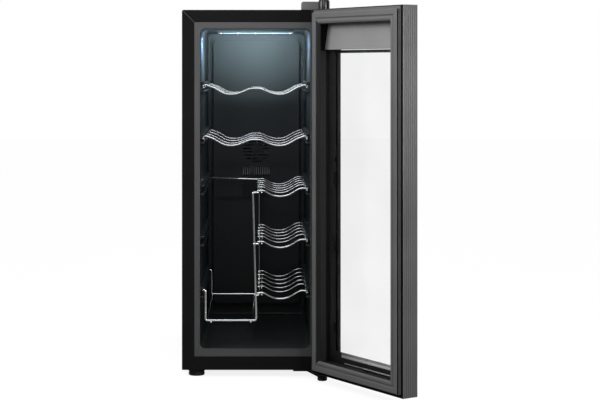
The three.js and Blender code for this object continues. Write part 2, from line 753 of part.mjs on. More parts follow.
/** Square fan housing with its motor seat on four spokes; the back is at y0 + depth. */
function fanFrame(size, depth, y0) {
  const half = size / 2;
  const back = y0 + depth;
  const corners = [[1, 1], [-1, 1], [-1, -1], [1, -1]].map(([sideX, sideZ]) =>
    circle(sideX * (half - fanScrewInset), coolerZ + sideZ * (half - fanScrewInset), fanScrewRadius, 6,
      THREE.Path));
  const bore = circle(0, coolerZ, half - fanWall, fanSides, THREE.Path);
  const outline = roundedRect(-half, half, coolerZ - half, coolerZ + half, 3);
  const hub = panel(circle(0, coolerZ, size * fanHubShare / 2, 16), back - fanSpoke, back);
  const spokes = [1, -1].map((side) => new THREE.BoxGeometry(size - fanWall, fanSpoke, fanSpokeWidth)
    .rotateY(side * Math.PI / 4).translate(0, back - fanSpoke / 2, coolerZ));
  return join(panel(withHoles(outline, bore, ...corners), y0, back), hub, ...spokes);
}

/** Hub and swept blades, clear of the frame by the tip gap and seated on its motor disc. */
function fanRotor(size, depth, y0) {
  const hub = size * fanHubShare / 2;
  const tip = size / 2 - fanWall - fanTipGap;
  const front = y0 + 1;
  const back = y0 + depth - fanSpoke - seat;
  const blade = (turn) => loft([hub - 1, (hub + tip) / 2, tip].map((radius, index) => {
    const sweep = turn + index * bladeSweep;
    const corner = (angle, y) => new THREE.Vector3(
      radius * Math.cos(sweep + angle), y, coolerZ + radius * Math.sin(sweep + angle));
    return [corner(-bladeSpread, front + 1), corner(-bladeSpread + bladeSkin, front + 1),
      corner(bladeSpread, back - 1), corner(bladeSpread - bladeSkin, back - 1)];
  }), false);
  const blades = Array.from({ length: fanBlades }, (_, index) => blade(index * 2 * Math.PI / fanBlades));
  return join(panel(circle(0, coolerZ, hub, 16), front, back), ...blades);
}

/** Extruded finned heat sink. The base lies between y0 and y0 + base; fins stand towards +Y or -Y. */
function finnedSink(width, height, finDepth, fins, y0, direction) {
  const half = width / 2;
  const pitch = (width - finThickness) / (fins - 1);
  const [rootY, tipY] = direction > 0 ? [y0 + sinkBase, y0 + sinkBase + finDepth] : [y0, y0 - finDepth];
  const flatY = direction > 0 ? y0 : y0 + sinkBase;
  const points = [[half, flatY], [-half, flatY]];
  for (let i = 0; i < fins; i += 1) {
    const left = -half + i * pitch;
    if (i > 0) points.push([left, rootY]);
    points.push([left, tipY], [left + finThickness, tipY]);
    if (i < fins - 1) points.push([left + finThickness, rootY]);
  }
  return slab(polygon(points), coolerZ - height / 2, coolerZ + height / 2);
}

const coldFanFront = ductFront + ductWall + seat;
const coldSinkBaseFront = linerBack + coldFinDepth;
const hotSinkFront = compartmentBack + seat;
const peltierBack = hotSinkFront - seat;
const hotFanFront = hotSinkFront + sinkBase + hotFinDepth + seat;

function buildCooling() {
  const group = new THREE.Group();
  const plate = (half, y0, y1) => block(-half, half, y0, y1, coolerZ - half, coolerZ + half);
  group.add(
    piece('duct_cover', 'linerPlastic', ductCover()),
    piece('cold_fan_frame', 'blackPlastic', fanFrame(coldFanSize, coldFanDepth, coldFanFront)),
    piece('cold_fan_rotor', 'blackPlastic', fanRotor(coldFanSize, coldFanDepth, coldFanFront)),
    piece('cold_heat_sink', 'aluminium',
      finnedSink(coldSinkWidth, coldSinkHeight, coldFinDepth, coldFins, coldSinkBaseFront, -1)),
    piece('cold_block', 'aluminium',
      plate(peltierSize / 2, coldSinkBaseFront + sinkBase + seat, peltierBack - peltierThickness - seat)),
    piece('peltier_module', 'ceramic', plate(peltierSize / 2, peltierBack - peltierThickness, peltierBack)),
    piece('hot_heat_sink', 'aluminium',
      finnedSink(hotSinkWidth, hotSinkHeight, hotFinDepth, hotFins, hotSinkFront, 1)),
    piece('hot_fan_frame', 'blackPlastic', fanFrame(hotFanSize, hotFanDepth, hotFanFront)),
    piece('hot_fan_rotor', 'blackPlastic', fanRotor(hotFanSize, hotFanDepth, hotFanFront)),
  );
  return group;
}

// ---------------------------------------------------------------- light, sensor and electrics

const lightTop = mouth.top - seat;

/** A block under the ceiling, inset all round from the light bar's outline. */
function lightBlock(inset, z0, z1) {
  return block(-lightLength / 2 + inset, lightLength / 2 - inset,
    lightBack - lightWidth / 2 + inset, lightBack + lightWidth / 2 - inset, z0, z1);
}

/** Shallow channel on the liner's ceiling, open below for the lens. */
function lightHousing() {
  return cut(lightBlock(0, lightTop - lightHeight, lightTop),
    lightBlock(lightWall, lightTop - lightHeight - cutterReach, lightTop - lightWall));
}

function lightBoard() {
  const top = lightTop - lightWall - seat;
  const leds = Array.from({ length: ledCount }, (_, index) => {
    const x = (index - (ledCount - 1) / 2) * ledPitch;
    return block(x - ledSize / 2, x + ledSize / 2, lightBack - ledSize / 2, lightBack + ledSize / 2,
      top - 2 * ledBoard, top - ledBoard / 2);
  });
  return join(lightBlock(lightWall + cutterReach, top - ledBoard, top), ...leds);
}

function lightLens() {
  const bottom = lightTop - lightHeight;
  return lightBlock(lightWall + seat, bottom, bottom + lensThickness);
}

/** Small slotted clip on the right wall over the temperature sensor. */
function sensorClip() {
  const outer = mouth.half - seat;
  const [y, z] = [linerDepth - clipBack, levels[0] + clipRise];
  const slots = [-1, 0, 1].map((step) => block(
    outer - clipReach - cutterReach, outer - clipReach / 2, y - clipWidth * 0.35, y + clipWidth * 0.35,
    z + step * clipSlotPitch - clipSlot / 2, z + step * clipSlotPitch + clipSlot / 2));
  return cut(block(outer - clipReach, outer, y - clipWidth / 2, y + clipWidth / 2,
    z - clipHeight / 2, z + clipHeight / 2), ...slots);
}

/** Power supply board on stand-offs, with its tall parts. */
function powerBoard() {
  const [x, z] = [powerBoardX, bottomZ + powerBoardRise];
  const [halfX, halfZ] = [powerBoardWidth / 2, powerBoardHeight / 2];
  const boardFront = compartmentBack + standOff;
  const boardBack = boardFront + boardThickness;
  const sunk = boardBack - boardThickness / 2;
  const boxes = [transformerCase, transformerCore, heatPlate, relay].map((part) =>
    block(x + part.left, x + part.right, sunk, boardBack + part.tall, z + part.low, z + part.high));
  const posts = [[-1, -1], [1, -1], [1, 1], [-1, 1]].map(([sideX, sideZ]) => bar(standOffRadius,
    x + sideX * (halfX - standOffInset), z + sideZ * (halfZ - standOffInset),
    compartmentBack + seat, boardFront + boardThickness / 2, 8));
  const capacitors = capacitorPlaces.map(([offX, offZ]) =>
    bar(capacitorRadius, x + offX, z + offZ, sunk, boardBack + capacitorHeight, 10));
  return join(block(x - halfX, x + halfX, boardFront, boardBack, z - halfZ, z + halfZ), ...posts,
    ...boxes, ...capacitors);
}

/** Three-pin appliance inlet clipped into the rear panel. */
function powerInlet() {
  const [halfX, halfZ] = [inletWidth / 2, inletHeight / 2];
  const [openX, openZ] = [halfX - inletWall, halfZ - inletWall];
  const flangeFront = rearPanelBack + seat;
  const mouthY = flangeFront + inletFlangeThickness;
  const body = block(inletX - halfX, inletX + halfX, mouthY - inletDepth, mouthY - inletFlangeThickness / 2,
    inletZ - halfZ, inletZ + halfZ);
  const flange = panel(roundedRect(inletX - halfX - inletFlange, inletX + halfX + inletFlange,
    inletZ - halfZ - inletFlange, inletZ + halfZ + inletFlange, inletFlange / 2, 2), flangeFront, mouthY);
  const socket = polygon([
    [inletX - openX, inletZ - openZ], [inletX + openX, inletZ - openZ],
    [inletX + openX, inletZ + openZ - inletCorner], [inletX + openX - inletCorner, inletZ + openZ],
    [inletX - openX + inletCorner, inletZ + openZ], [inletX - openX, inletZ + openZ - inletCorner],
  ]);
  const floor = mouthY - inletSocketDepth;
  const pins = [-1, 0, 1].map((step) => {
    const [x, z] = [inletX + step * pinSpread, inletZ - inletWall + (step === 0 ? pinStagger : 0)];
    return block(x - pinThickness / 2, x + pinThickness / 2, floor - inletWall, floor - inletWall + pinLength,
      z - pinHeight / 2, z + pinHeight / 2);
  });
  return join(cut(join(body, flange), panel(socket, floor, mouthY + cutterReach)), ...pins);
}

function buildElectrics() {
  const group = new THREE.Group();
  group.add(
    piece('light_housing', 'blackPlastic', lightHousing()),
    piece('light_board', 'circuitBoard', lightBoard()),
    piece('light_lens', 'lens', lightLens()),
    piece('sensor_clip', 'blackPlastic', sensorClip()),
    piece('power_board', 'circuitBoard', powerBoard()),
    piece('power_inlet', 'blackPlastic', powerInlet()),
  );
  return group;
}

// ---------------------------------------------------------------- shelves and rack

const secondWire = shelfFront + firstGap;
const wirePitch = (ductFront - shelfBackGap - secondWire) / (wiresBehind - 1);
const wirePlaces = [shelfFront, ...Array.from({ length: wiresBehind },
  (_, index) => secondWire + index * wirePitch)];
const shelfEnd = wirePlaces.at(-1) + 2;
const rackBack = shelfEnd + rackBehind;
const rackLeft = mouth.half - rackSideGap;

/** Cross wires that share one wave, all with their undersides level, so that they sit on the rails. */
function crossWires(wavePoints, level, samples) {
  return wirePlaces.map((y, index) => {
    const [radius, sides] = index === 0 ? [frontWireRadius, 6] : [crossWireRadius, 5];
    const lift = radius - crossWireRadius;
    const wave = new THREE.CatmullRomCurve3(
      wavePoints.map(([x, drop]) => new THREE.Vector3(x, y, level - drop + lift)), false, 'catmullrom', 0.5);
    return wire(wave.getPoints(samples), radius, sides);
  });
}

const sideRail = (x, z) => bar(railRadius, x, z, shelfFront - 2, shelfEnd, 6);

/** Full-width shelf: a double wave that cradles two bottles, on two side rails. */
function fullShelf(level) {
  const shoulder = troughSpan + (shelfReach - troughSpan) * 0.6;
  const wave = [[-shelfReach, 0], [-shoulder, shoulderDrop], [-troughSpan, troughDepth], [0, crestDrop],
    [troughSpan, troughDepth], [shoulder, shoulderDrop], [shelfReach, 0]];
  const railX = shelfReach - railRadius;
  return join(...crossWires(wave, level, 10), sideRail(-railX, level - railDrop),
    sideRail(railX, level - railDrop));
}

/** Half shelf: one trough, its left end resting on the rack's rail and its right end in the wall ribs. */
function halfShelf(level) {
  const shoulder = troughSpan + (shelfReach - troughSpan) * 0.6;
  const flat = halfShelfStart + 10;
  const wave = [[halfShelfStart, halfShelfFall], [flat, halfShelfFall + 0.4], [troughSpan, troughDepth],
    [shoulder, shoulderDrop], [shelfReach, 0]];
  const leftRail = sideRail(flat + railRadius, level - halfShelfFall - 0.8 - railDrop);
  return join(...crossWires(wave, level, 7), leftRail, sideRail(shelfReach - railRadius, level - railDrop));
}

/** Rack for standing bottles: one long bent wire, a rear hoop, two floor ties and two shelf rails. */
function bottleRack() {
  const baseZ = mouth.bottom + rackBaseHeight;
  const hookZ = levels.at(-1) - railDrop - railRadius + rackWireRadius;
  const railZ = (level) => level - halfShelfFall - crossWireRadius - seat - rackWireRadius;
  const halfLevels = levels.slice(fullShelfCount);
  const topRailZ = railZ(halfLevels[0]);
  const legX = (z) => rackLegFoot - rackLegLean * (z - baseZ) / (topRailZ - baseZ);
  const frontWire = bent([
    [-shelfReach, rackFront, hookZ], [-rackLeft, rackFront, hookZ], [-rackLeft, rackFront, baseZ],
    [rackLegFoot, rackFront, baseZ], [legX(topRailZ), rackFront, topRailZ], [rackRailX, rackFront, topRailZ],
    [rackRailX, rackBack, topRailZ], [-shelfReach, rackBack, halfLevels[0] - railDrop],
  ], rackBend / 2);
  const tieBack = rackBack - 2 * rackWireRadius;
  const rearHoop = bent([
    [-shelfReach, tieBack, hookZ], [-rackLeft, tieBack, hookZ], [-rackLeft, tieBack, baseZ],
    [rackRailX, tieBack, baseZ], [rackRailX, tieBack, topRailZ],
  ], rackBend / 2);
  const tieZ = baseZ - rackWireRadius - rackTieRadius * 0.6;
  const bay = [-rackLeft + 1.5, rackLegFoot - 6];
  const tieTips = [bay[0] + 8, bay[1] - 4];
  const ties = bay.map((x, index) => wire(bent([
    [tieTips[index], rackFront - 2, tieZ], [x, rackFront + 36, tieZ], [x, tieBack + 2, tieZ],
  ], 8), rackTieRadius));
  const rails = halfLevels.slice(1).map((level) => {
    const z = railZ(level);
    return wire(bent([[legX(z), rackFront, z], [rackRailX, rackFront, z], [rackRailX, tieBack, z]], 3, 2),
      rackWireRadius);
  });
  return join(wire(frontWire, rackWireRadius), wire(rearHoop, rackWireRadius), ...ties, ...rails);
}

function buildShelves() {
  const group = new THREE.Group();
  const names = ['full_shelf_upper', 'full_shelf_lower',
    'half_shelf_upper', 'half_shelf_middle', 'half_shelf_lower'];
  levels.forEach((level, index) => {
    const shelf = index < fullShelfCount ? fullShelf(level) : halfShelf(level);
    group.add(piece(names[index], 'chrome', shelf));
  });
  group.add(piece('bottle_rack', 'chrome', bottleRack()));
  return group;
}

// ---------------------------------------------------------------- hinges

const hingePlateBottom = topZ + seat;
const hingePlateTop = hingePlateBottom + hingePlate;
const hingeCoverTop = topZ + seat + hingeCoverHeight;

/** Plan outline of a hinge: a foot on the cabinet and an arm that ends round on the hinge axis. */
function hingePlan(left, right, back, endRadius, shoulder, flare = 0) {
  return polygon([
    [left, back], [left, shoulder], [hingeX - endRadius - flare, shoulder],
    ...arc(hingeX, hingeY, endRadius, Math.PI, 2 * Math.PI, 8),
    [hingeX + endRadius, shoulder], [right, shoulder + right - hingeX - endRadius], [right, back],
  ]);
}

const coverLeft = halfWidth - hingeCoverLeft;
const coverShoulder = -2;

function topHingePlate() {
  const plan = hingePlan(coverLeft + plateInset, hingeX + hingeEyeRadius, hingeCoverBack - plateInset,
    hingeEyeRadius, coverShoulder + plateInset);
  const [low, high] = [hingePlateBottom - cutterReach, hingePlateTop + cutterReach];
  const holes = topScrews.map(([x, y]) => screwHole(x, y, low, high));
  return cut(slab(plan, hingePlateBottom, hingePlateTop),
    rod(pinRadius + seat, hingeX, hingeY, low, high), ...holes);
}

/** Moulded cover over the top hinge: a round-cornered block and the barrel round the axis. */
function topHingeCover() {
  const wall = hingeCoverWall;
  const right = hingeX + hingeBarrelRadius - 1;
  const outside = slab(hingePlan(coverLeft, right, hingeCoverBack, hingeBarrelRadius, coverShoulder),
    hingePlateBottom, hingeCoverTop);
  const inside = slab(hingePlan(coverLeft + wall, right - wall, hingeCoverBack - wall,
    hingeBarrelRadius - wall, coverShoulder + wall), hingePlateBottom - 1, hingeCoverTop - wall);
  const round = hingeCoverRound;
  const shaving = polygon([[coverLeft - 1, hingeCoverTop + 1], [coverLeft - 1, hingeCoverTop - round],
    ...arc(coverLeft + round, hingeCoverTop - round, round, Math.PI, Math.PI / 2, 4),
    [coverLeft + round, hingeCoverTop + 1]]);
  return cut(outside, inside, panel(shaving, coverShoulder - 1, hingeCoverBack + 1));
}

function hingeCap() {
  const base = hingeCoverTop + seat;
  const radius = hingeBarrelRadius - 0.8;
  return turned([[0, base], [radius, base], [radius, base + 1.2], [radius - 1.4, base + 1.8],
    [radius * 0.72, base + hingeDomeHeight - 0.8], [radius * 0.4, base + hingeDomeHeight - 0.1],
    [0, base + hingeDomeHeight]], hingeX, hingeY, pinSides);
}

function topHingePin() {
  const head = hingePlateTop + seat;
  return turned([[0, doorTop - pinReach], [pinRadius - 0.6, doorTop - pinReach],
    [pinRadius, doorTop - pinReach + 0.8], [pinRadius, head], [pinRadius + 2.2, head],
    [pinRadius + 2.2, head + 1.6], [pinRadius + 1, head + 2.4], [0, head + 2.4]], hingeX, hingeY, pinSides);
}

const bracketTop = bottomZ - seat;
const bracketBottom = bracketTop - hingePlate;
const hingeFoot = { x: hingeX - hingeFootLeft, y: hingeY - hingeFootAhead };

/** Plate under the cabinet: the lower pin is welded on top of it, the hinge foot hangs below it and
 * a sloping gusset comes down beside the foot. */
function bottomHingeBracket() {
  const plan = hingePlan(hingeX - bracketLength, hingeX + bracketEyeRadius, hingeCoverBack,
    bracketEyeRadius, bracketShoulder, bracketFlare);
  const start = hingeX - bracketEyeRadius - bracketFlare;
  const [low, far] = [gussetLow - cutterReach, cabinetWidth];
  const below = polygon([
    [-far, low], [-far, bracketBottom], [start, bracketBottom], [hingeFoot.x - hingeFootRadius, gussetLow],
    [hingeFoot.x, gussetLow], [hingeFoot.x, bracketBottom], [far, bracketBottom], [far, low],
  ]);
  const holes = bottomScrews.map(([x, y]) => screwHole(x, y, 0, bracketTop + cutterReach));
  return cut(slab(plan, gussetLow, bracketTop),
    panel(below, hingeY - far, bracketShoulder),
    block(-far, far, bracketShoulder, far, low, bracketBottom),
    rod(hingeFootRadius + seat, hingeFoot.x, hingeFoot.y, low, bracketBottom, hingeFootSides),
    rod(pinRadius + seat, hingeFoot.x, hingeFoot.y, low, bracketTop - bracketSkin), ...holes);
}

/** Pin with a collar that rests on the bracket; the door's lower bush turns on it. */
function bottomHingePin() {
  const base = bracketTop + seat;
  return turned([[0, base], [pinRadius + 2, base], [pinRadius + 2, base + pinCollar],
    [pinRadius, base + pinCollar], [pinRadius, doorBottom + pinReach - 0.8],
    [pinRadius - 0.6, doorBottom + pinReach], [0, doorBottom + pinReach]], hingeX, hingeY, pinSides);
}

/** Turned foot with a stud that goes up into the bracket. */
function hingeFootPiece() {
  const [top, stud] = [bracketBottom - seat, bracketTop - bracketSkin - seat];
  return turned([[0, 0], [hingeFootRadius - 1.5, 0], [hingeFootRadius, 1.5], [hingeFootRadius, top - 1.2],
    [hingeFootRadius - 1.2, top], [pinRadius, top], [pinRadius, stud], [0, stud]],
  hingeFoot.x, hingeFoot.y, hingeFootSides);
}

function buildHinges() {
  const group = new THREE.Group();
  const topSeat = hingePlateTop + seat;
  const bottomSeat = bracketBottom - seat;
  group.add(
    piece('top_hinge_plate', 'galvanised', topHingePlate()),
    piece('top_hinge_cover', 'blackPlastic', topHingeCover()),
    piece('top_hinge_cap', 'blackPlastic', hingeCap()),
    piece('top_hinge_pin', 'galvanised', topHingePin()),
    ...topScrews.map(([x, y], index) =>
      piece(`top_hinge_screw_${index + 1}`, 'galvanised', screw().translate(x, y, topSeat))),
    piece('bottom_hinge_bracket', 'blackSteel', bottomHingeBracket()),
    piece('bottom_hinge_pin', 'galvanised', bottomHingePin()),
    ...bottomScrews.map(([x, y], index) =>
      piece(`bottom_hinge_screw_${index + 1}`, 'galvanised',
        screw().rotateX(Math.PI).translate(x, y, bottomSeat))),
    piece('hinge_foot', 'rubber', hingeFootPiece()),
  );
  return group;
}

// ---------------------------------------------------------------- door, drawn closed

/** Door frame profile: [outward from the opening, y]. Its outer face has fine upright ridges. */
function doorFrameProfile() {
  const grooveEnd = doorRail - backGrooveInset;
  const ridged = [];
  const pitch = (doorDepth - 4) / ridgeCount;
  for (let i = 0; i < ridgeCount; i += 1) {
    const y = doorBack - 2 - (i + 0.5) * pitch;
    ridged.push([doorRail, y + ridgeWidth], [doorRail - ridgeDepth, y + ridgeWidth / 3],
      [doorRail - ridgeDepth, y - ridgeWidth / 3], [doorRail, y - ridgeWidth]);
  }
  return [
    [0, doorBack], [grooveEnd - backGrooveWidth, doorBack],
    [grooveEnd - backGrooveWidth, doorBack - backGrooveDepth], [grooveEnd, doorBack - backGrooveDepth],
    [grooveEnd, doorBack], [doorRail - edgeChamfer, doorBack], [doorRail, doorBack - edgeChamfer],
    ...ridged,
    [doorRail, doorFront + edgeChamfer], [doorRail - edgeChamfer, doorFront], [doorRail - doorLip, doorFront],
    [doorRail - doorLip, outerGlassBack + seat], [0, outerGlassBack + seat],
  ];
}

function doorFrame() {
  const frame = mitredFrame(doorFrameProfile(), openingHalfWidth, openingHalfHeight, doorMiddle);
  const depth = pinReach + 2;
  const bore = (z0, z1) => rod(bushRadius + seat, hingeX, hingeY, z0, z1);
  return cut(frame, bore(doorTop - depth, doorTop + 1), bore(doorBottom - 1, doorBottom + depth));
}

/** Magnetic gasket: a soft inner bead and a flat magnet pocket either side of a fold. */
function doorGasket() {
  const [back, face] = [doorBack + seat, -seat - 0.1];
  const profile = [
    [0.8, back], [0, back + 0.8], [0, face - 1.8], [1.5, face - 0.8], [7.6, face - 0.8], [9, face - 1.8],
    [9.4, face - 3.2], [10.4, face - 3.2], [11, face - 1], [12, face], [gasketWidth - 1, face],
    [gasketWidth, face - 1], [gasketWidth, back + 1], [gasketWidth - 1, back],
  ];
  return mitredFrame(profile, halfWidth - gasketInset - gasketWidth,
    doorHalfHeight - gasketInset + 3 - gasketWidth, doorMiddle);
}

function outerGlass() {
  const [half, high] = [halfWidth - doorLip - seat, doorHalfHeight - doorLip - seat];
  return panel(roundedRect(-half, half, doorMiddle - high, doorMiddle + high, 2, 2),
    doorFront, outerGlassBack);
}

const housingBottom = doorMiddle + openingHalfHeight - seat - housingHeight;
const innerPane = {
  half: openingHalfWidth - seat,
  bottom: doorMiddle - openingHalfHeight + seat,
  top: housingBottom - seat,
};

function innerGlass() {
  return panel(roundedRect(-innerPane.half, innerPane.half, innerPane.bottom, innerPane.top, 1),
    innerGlassFront, innerGlassBack);
}

function glassSpacer() {
  const ring = (inset, Kind) => rect(-innerPane.half + inset, innerPane.half - inset,
    innerPane.bottom + inset, innerPane.top - inset, Kind);
  return panel(withHoles(ring(spacerInset), ring(spacerInset + spacerWidth, THREE.Path)),
    outerGlassBack + seat, innerGlassFront - seat);
}

/** Wedge-faced housing in the top of the door, open towards the outer glass for the touch board. */
function controlHousing() {
  const front = outerGlassBack + seat;
  const top = housingBottom + housingHeight;
  const faceTop = housingBottom + housingFace;
  const proud = innerGlassBack + housingProud;
  const flush = innerGlassBack + 0.6;
  const body = strip(polygon([[front, housingBottom], [proud, housingBottom], [flush, faceTop],
    [flush, top], [front, top]]), -innerPane.half, innerPane.half);
  const wall = housingWall;
  const hollow = strip(polygon([[front - 1, housingBottom + wall], [proud - wall * 1.2, housingBottom + wall],
    [flush - wall, faceTop - 1], [flush - wall, top - wall], [front - 1, top - wall]]),
  -innerPane.half + wall, innerPane.half - wall);
  return cut(body, hollow);
}

/** Touch board: five sensor pads and a two-digit display pressed to the outer glass. */
function controlBoard() {
  const middle = housingBottom + housingHeight / 2;
  const front = outerGlassBack + seat;
  const board = block(-boardWidth / 2, boardWidth / 2, front + 3, front + 3 + boardThickness,
    middle - boardHeight / 2, middle + boardHeight / 2);
  const display = block(-14, 14, front, front + 3.4, middle - 8, middle + 8);
  const pads = [-48, -30, 30, 48].map((x) => bar(6, x, middle, front, front + 3.4, 8));
  const posts = [-1, 1].map((side) => bar(2.5, side * (boardWidth / 2 - 4), middle - boardHeight / 2 + 4,
    front + 3 + boardThickness - 0.2, front + 6, 8));
  return join(board, display, ...pads, ...posts);
}

/** Bush pressed into the door frame at faceZ; the pin turns in it. Inward is +1 upwards, -1 downwards. */
function doorBush(faceZ, inward) {
  const inner = pinRadius + bushClearance;
  const deep = faceZ + inward * (pinReach + 1);
  return turned([[inner, deep], [bushRadius, deep], [bushRadius, faceZ], [inner, faceZ], [inner, deep]],
    hingeX, hingeY, pinSides);
}

function buildDoor() {
  const closed = new THREE.Group();
  closed.add(
    piece('door_frame', 'blackPlastic', doorFrame()),
    piece('door_gasket', 'rubber', doorGasket()),
    piece('outer_glass', 'glass', outerGlass()),
    piece('inner_glass', 'glass', innerGlass()),
    piece('glass_spacer', 'blackPlastic', glassSpacer()),
    piece('control_housing', 'greyPlastic', controlHousing()),
    piece('control_board', 'circuitBoard', controlBoard()),
    piece('door_bush_top', 'blackPlastic', doorBush(doorTop, -1)),
    piece('door_bush_bottom', 'blackPlastic', doorBush(doorBottom, 1)),
  );
  closed.position.set(-hingeX, -hingeY, 0);
  const swing = new THREE.Group();
  swing.add(closed);
  swing.position.set(hingeX, hingeY, 0);
  swing.rotation.z = THREE.MathUtils.degToRad(doorOpening);
  return swing;
}

// ---------------------------------------------------------------- assembly

const cooler = new THREE.Group();
cooler.add(buildCabinet(), buildCooling(), buildElectrics(), buildShelves(), buildHinges(), buildDoor());

const footprint = new THREE.Box3().setFromObject(cooler, true);
const centre = footprint.getCenter(new THREE.Vector3());
cooler.position.set(-centre.x, -centre.y, -footprint.min.z);

export default cooler;
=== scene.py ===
"""Looks of a slim free-standing wine cooler with its glass door open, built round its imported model.

Shapes are drawn in millimetres. In cabinet space X runs to the right, Y towards the back and Z up,
and the cabinet's front face is Y = 0. Door space is the same with the door shut. Datum places both.
"""

import json
import logging
import math
from collections.abc import Callable, Iterable, Sequence
from dataclasses import dataclass
from enum import Enum
from functools import cache
from typing import ClassVar

import bmesh
import bpy
from mathutils import Matrix, Vector


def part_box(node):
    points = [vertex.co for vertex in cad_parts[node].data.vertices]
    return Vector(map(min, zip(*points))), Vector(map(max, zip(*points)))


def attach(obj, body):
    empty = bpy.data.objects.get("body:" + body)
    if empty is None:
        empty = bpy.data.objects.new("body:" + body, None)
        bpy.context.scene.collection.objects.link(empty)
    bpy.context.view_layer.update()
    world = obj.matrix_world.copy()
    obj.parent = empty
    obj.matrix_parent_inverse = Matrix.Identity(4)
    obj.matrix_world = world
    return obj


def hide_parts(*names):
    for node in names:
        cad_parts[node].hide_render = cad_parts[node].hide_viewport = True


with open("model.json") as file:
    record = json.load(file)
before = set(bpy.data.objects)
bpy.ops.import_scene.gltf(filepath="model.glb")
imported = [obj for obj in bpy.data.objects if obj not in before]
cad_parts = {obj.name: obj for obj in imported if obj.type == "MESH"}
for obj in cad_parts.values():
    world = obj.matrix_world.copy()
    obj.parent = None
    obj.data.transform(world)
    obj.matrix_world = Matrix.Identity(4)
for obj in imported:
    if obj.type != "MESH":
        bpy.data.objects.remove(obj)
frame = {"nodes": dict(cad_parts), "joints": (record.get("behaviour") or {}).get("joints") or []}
LOG = logging.getLogger("wine_cooler")

Colour = tuple[float, float, float]
Point = tuple[float, float, float]
Section = Sequence[tuple[float, float]]

CABINET_BODY = "cabinet"
DOOR_BODY = "door"
FRONT = Matrix.Rotation(math.radians(90.0), 4, "X")
WHITE = (1.0, 1.0, 1.0, 1.0)
DUST_GREY = (0.32, 0.31, 0.3, 1.0)


# ---------------------------------------------------------------- places

class Axis(Enum):
    """Which way the axis of a turned piece points."""

    UP = "up"
    DOWN = "down"
    BACK = "back"

    def turn(self) -> Matrix:
        """Rotation that takes +Z to this axis."""
        degrees = {Axis.UP: 0.0, Axis.DOWN: 180.0, Axis.BACK: -90.0}[self]
        return Matrix.Rotation(math.radians(degrees), 4, "X")


@dataclass(frozen=True)
class Span:
    """A node's lowest and highest corners, in millimetres."""

    low: Vector
    high: Vector

    @property
    def middle(self) -> Vector:
        """The point halfway between the corners."""
        return (self.low + self.high) / 2

    @property
    def foot(self) -> Point:
        """The middle of the box's lower side."""
        return (self.middle.x, self.middle.y, self.low.z)

    @property
    def size(self) -> Vector:
        """The edge lengths of the box."""
        return self.high - self.low


@dataclass(frozen=True)
class Datum:
    """Places of cabinet space and door space in the row's frame."""

    cabinet: Matrix
    door: Matrix
    hinge: Vector

    @classmethod
    def read(cls) -> "Datum":
        """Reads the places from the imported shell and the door's hinge joint.

        Returns:
            The datum with both spaces' matrices and the hinge axis in cabinet space.
        """
        low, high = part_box("cabinet_shell")
        millimetre = Matrix.Diagonal((0.001, 0.001, 0.001, 1.0))
        cabinet = Matrix.Translation(((low.x + high.x) / 2, low.y, 0.0)) @ millimetre
        joint = next(item for item in frame["joints"] if item["name"] == "door_hinge")
        hinge = cabinet.inverted() @ Vector(joint["pos_m"])
        hinge.z = 0.0
        swing = Matrix.Rotation(math.radians(-joint["range_deg"][0]), 4, "Z")
        door = cabinet @ Matrix.Translation(hinge) @ swing @ Matrix.Translation(-hinge)
        return cls(cabinet, door, hinge)

    def span(self, node: str, place: Matrix | None = None) -> Span:
        """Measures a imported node.

        Args:
            node: The node's name.
            place: The space to measure it in; cabinet space if none is given.

        Returns:
            The node's lowest and highest corners in that space.
        """
        back = (place or self.cabinet).inverted()
        points = [back @ vert.co for vert in frame["nodes"][node].data.vertices]
        return Span(Vector(min(p[i] for p in points) for i in range(3)),
                    Vector(max(p[i] for p in points) for i in range(3)))


# ---------------------------------------------------------------- shapes

def linked(name: str, data: bpy.types.ID) -> bpy.types.Object:
    """Makes an object for a data block and links it to the scene."""
    item = bpy.data.objects.new(name, data)
    bpy.context.scene.collection.objects.link(item)
    return item


def evaluated(item: bpy.types.Object) -> bpy.types.Mesh:
    """Takes an object's mesh with its modifiers or its curve settings applied."""
    return bpy.data.meshes.new_from_object(item.evaluated_get(bpy.context.evaluated_depsgraph_get()))


def picked(parts: Iterable[object], kind: type) -> list:
    """Picks the parts of one kind from what an operator gives back."""
    return [part for part in parts if isinstance(part, kind)]


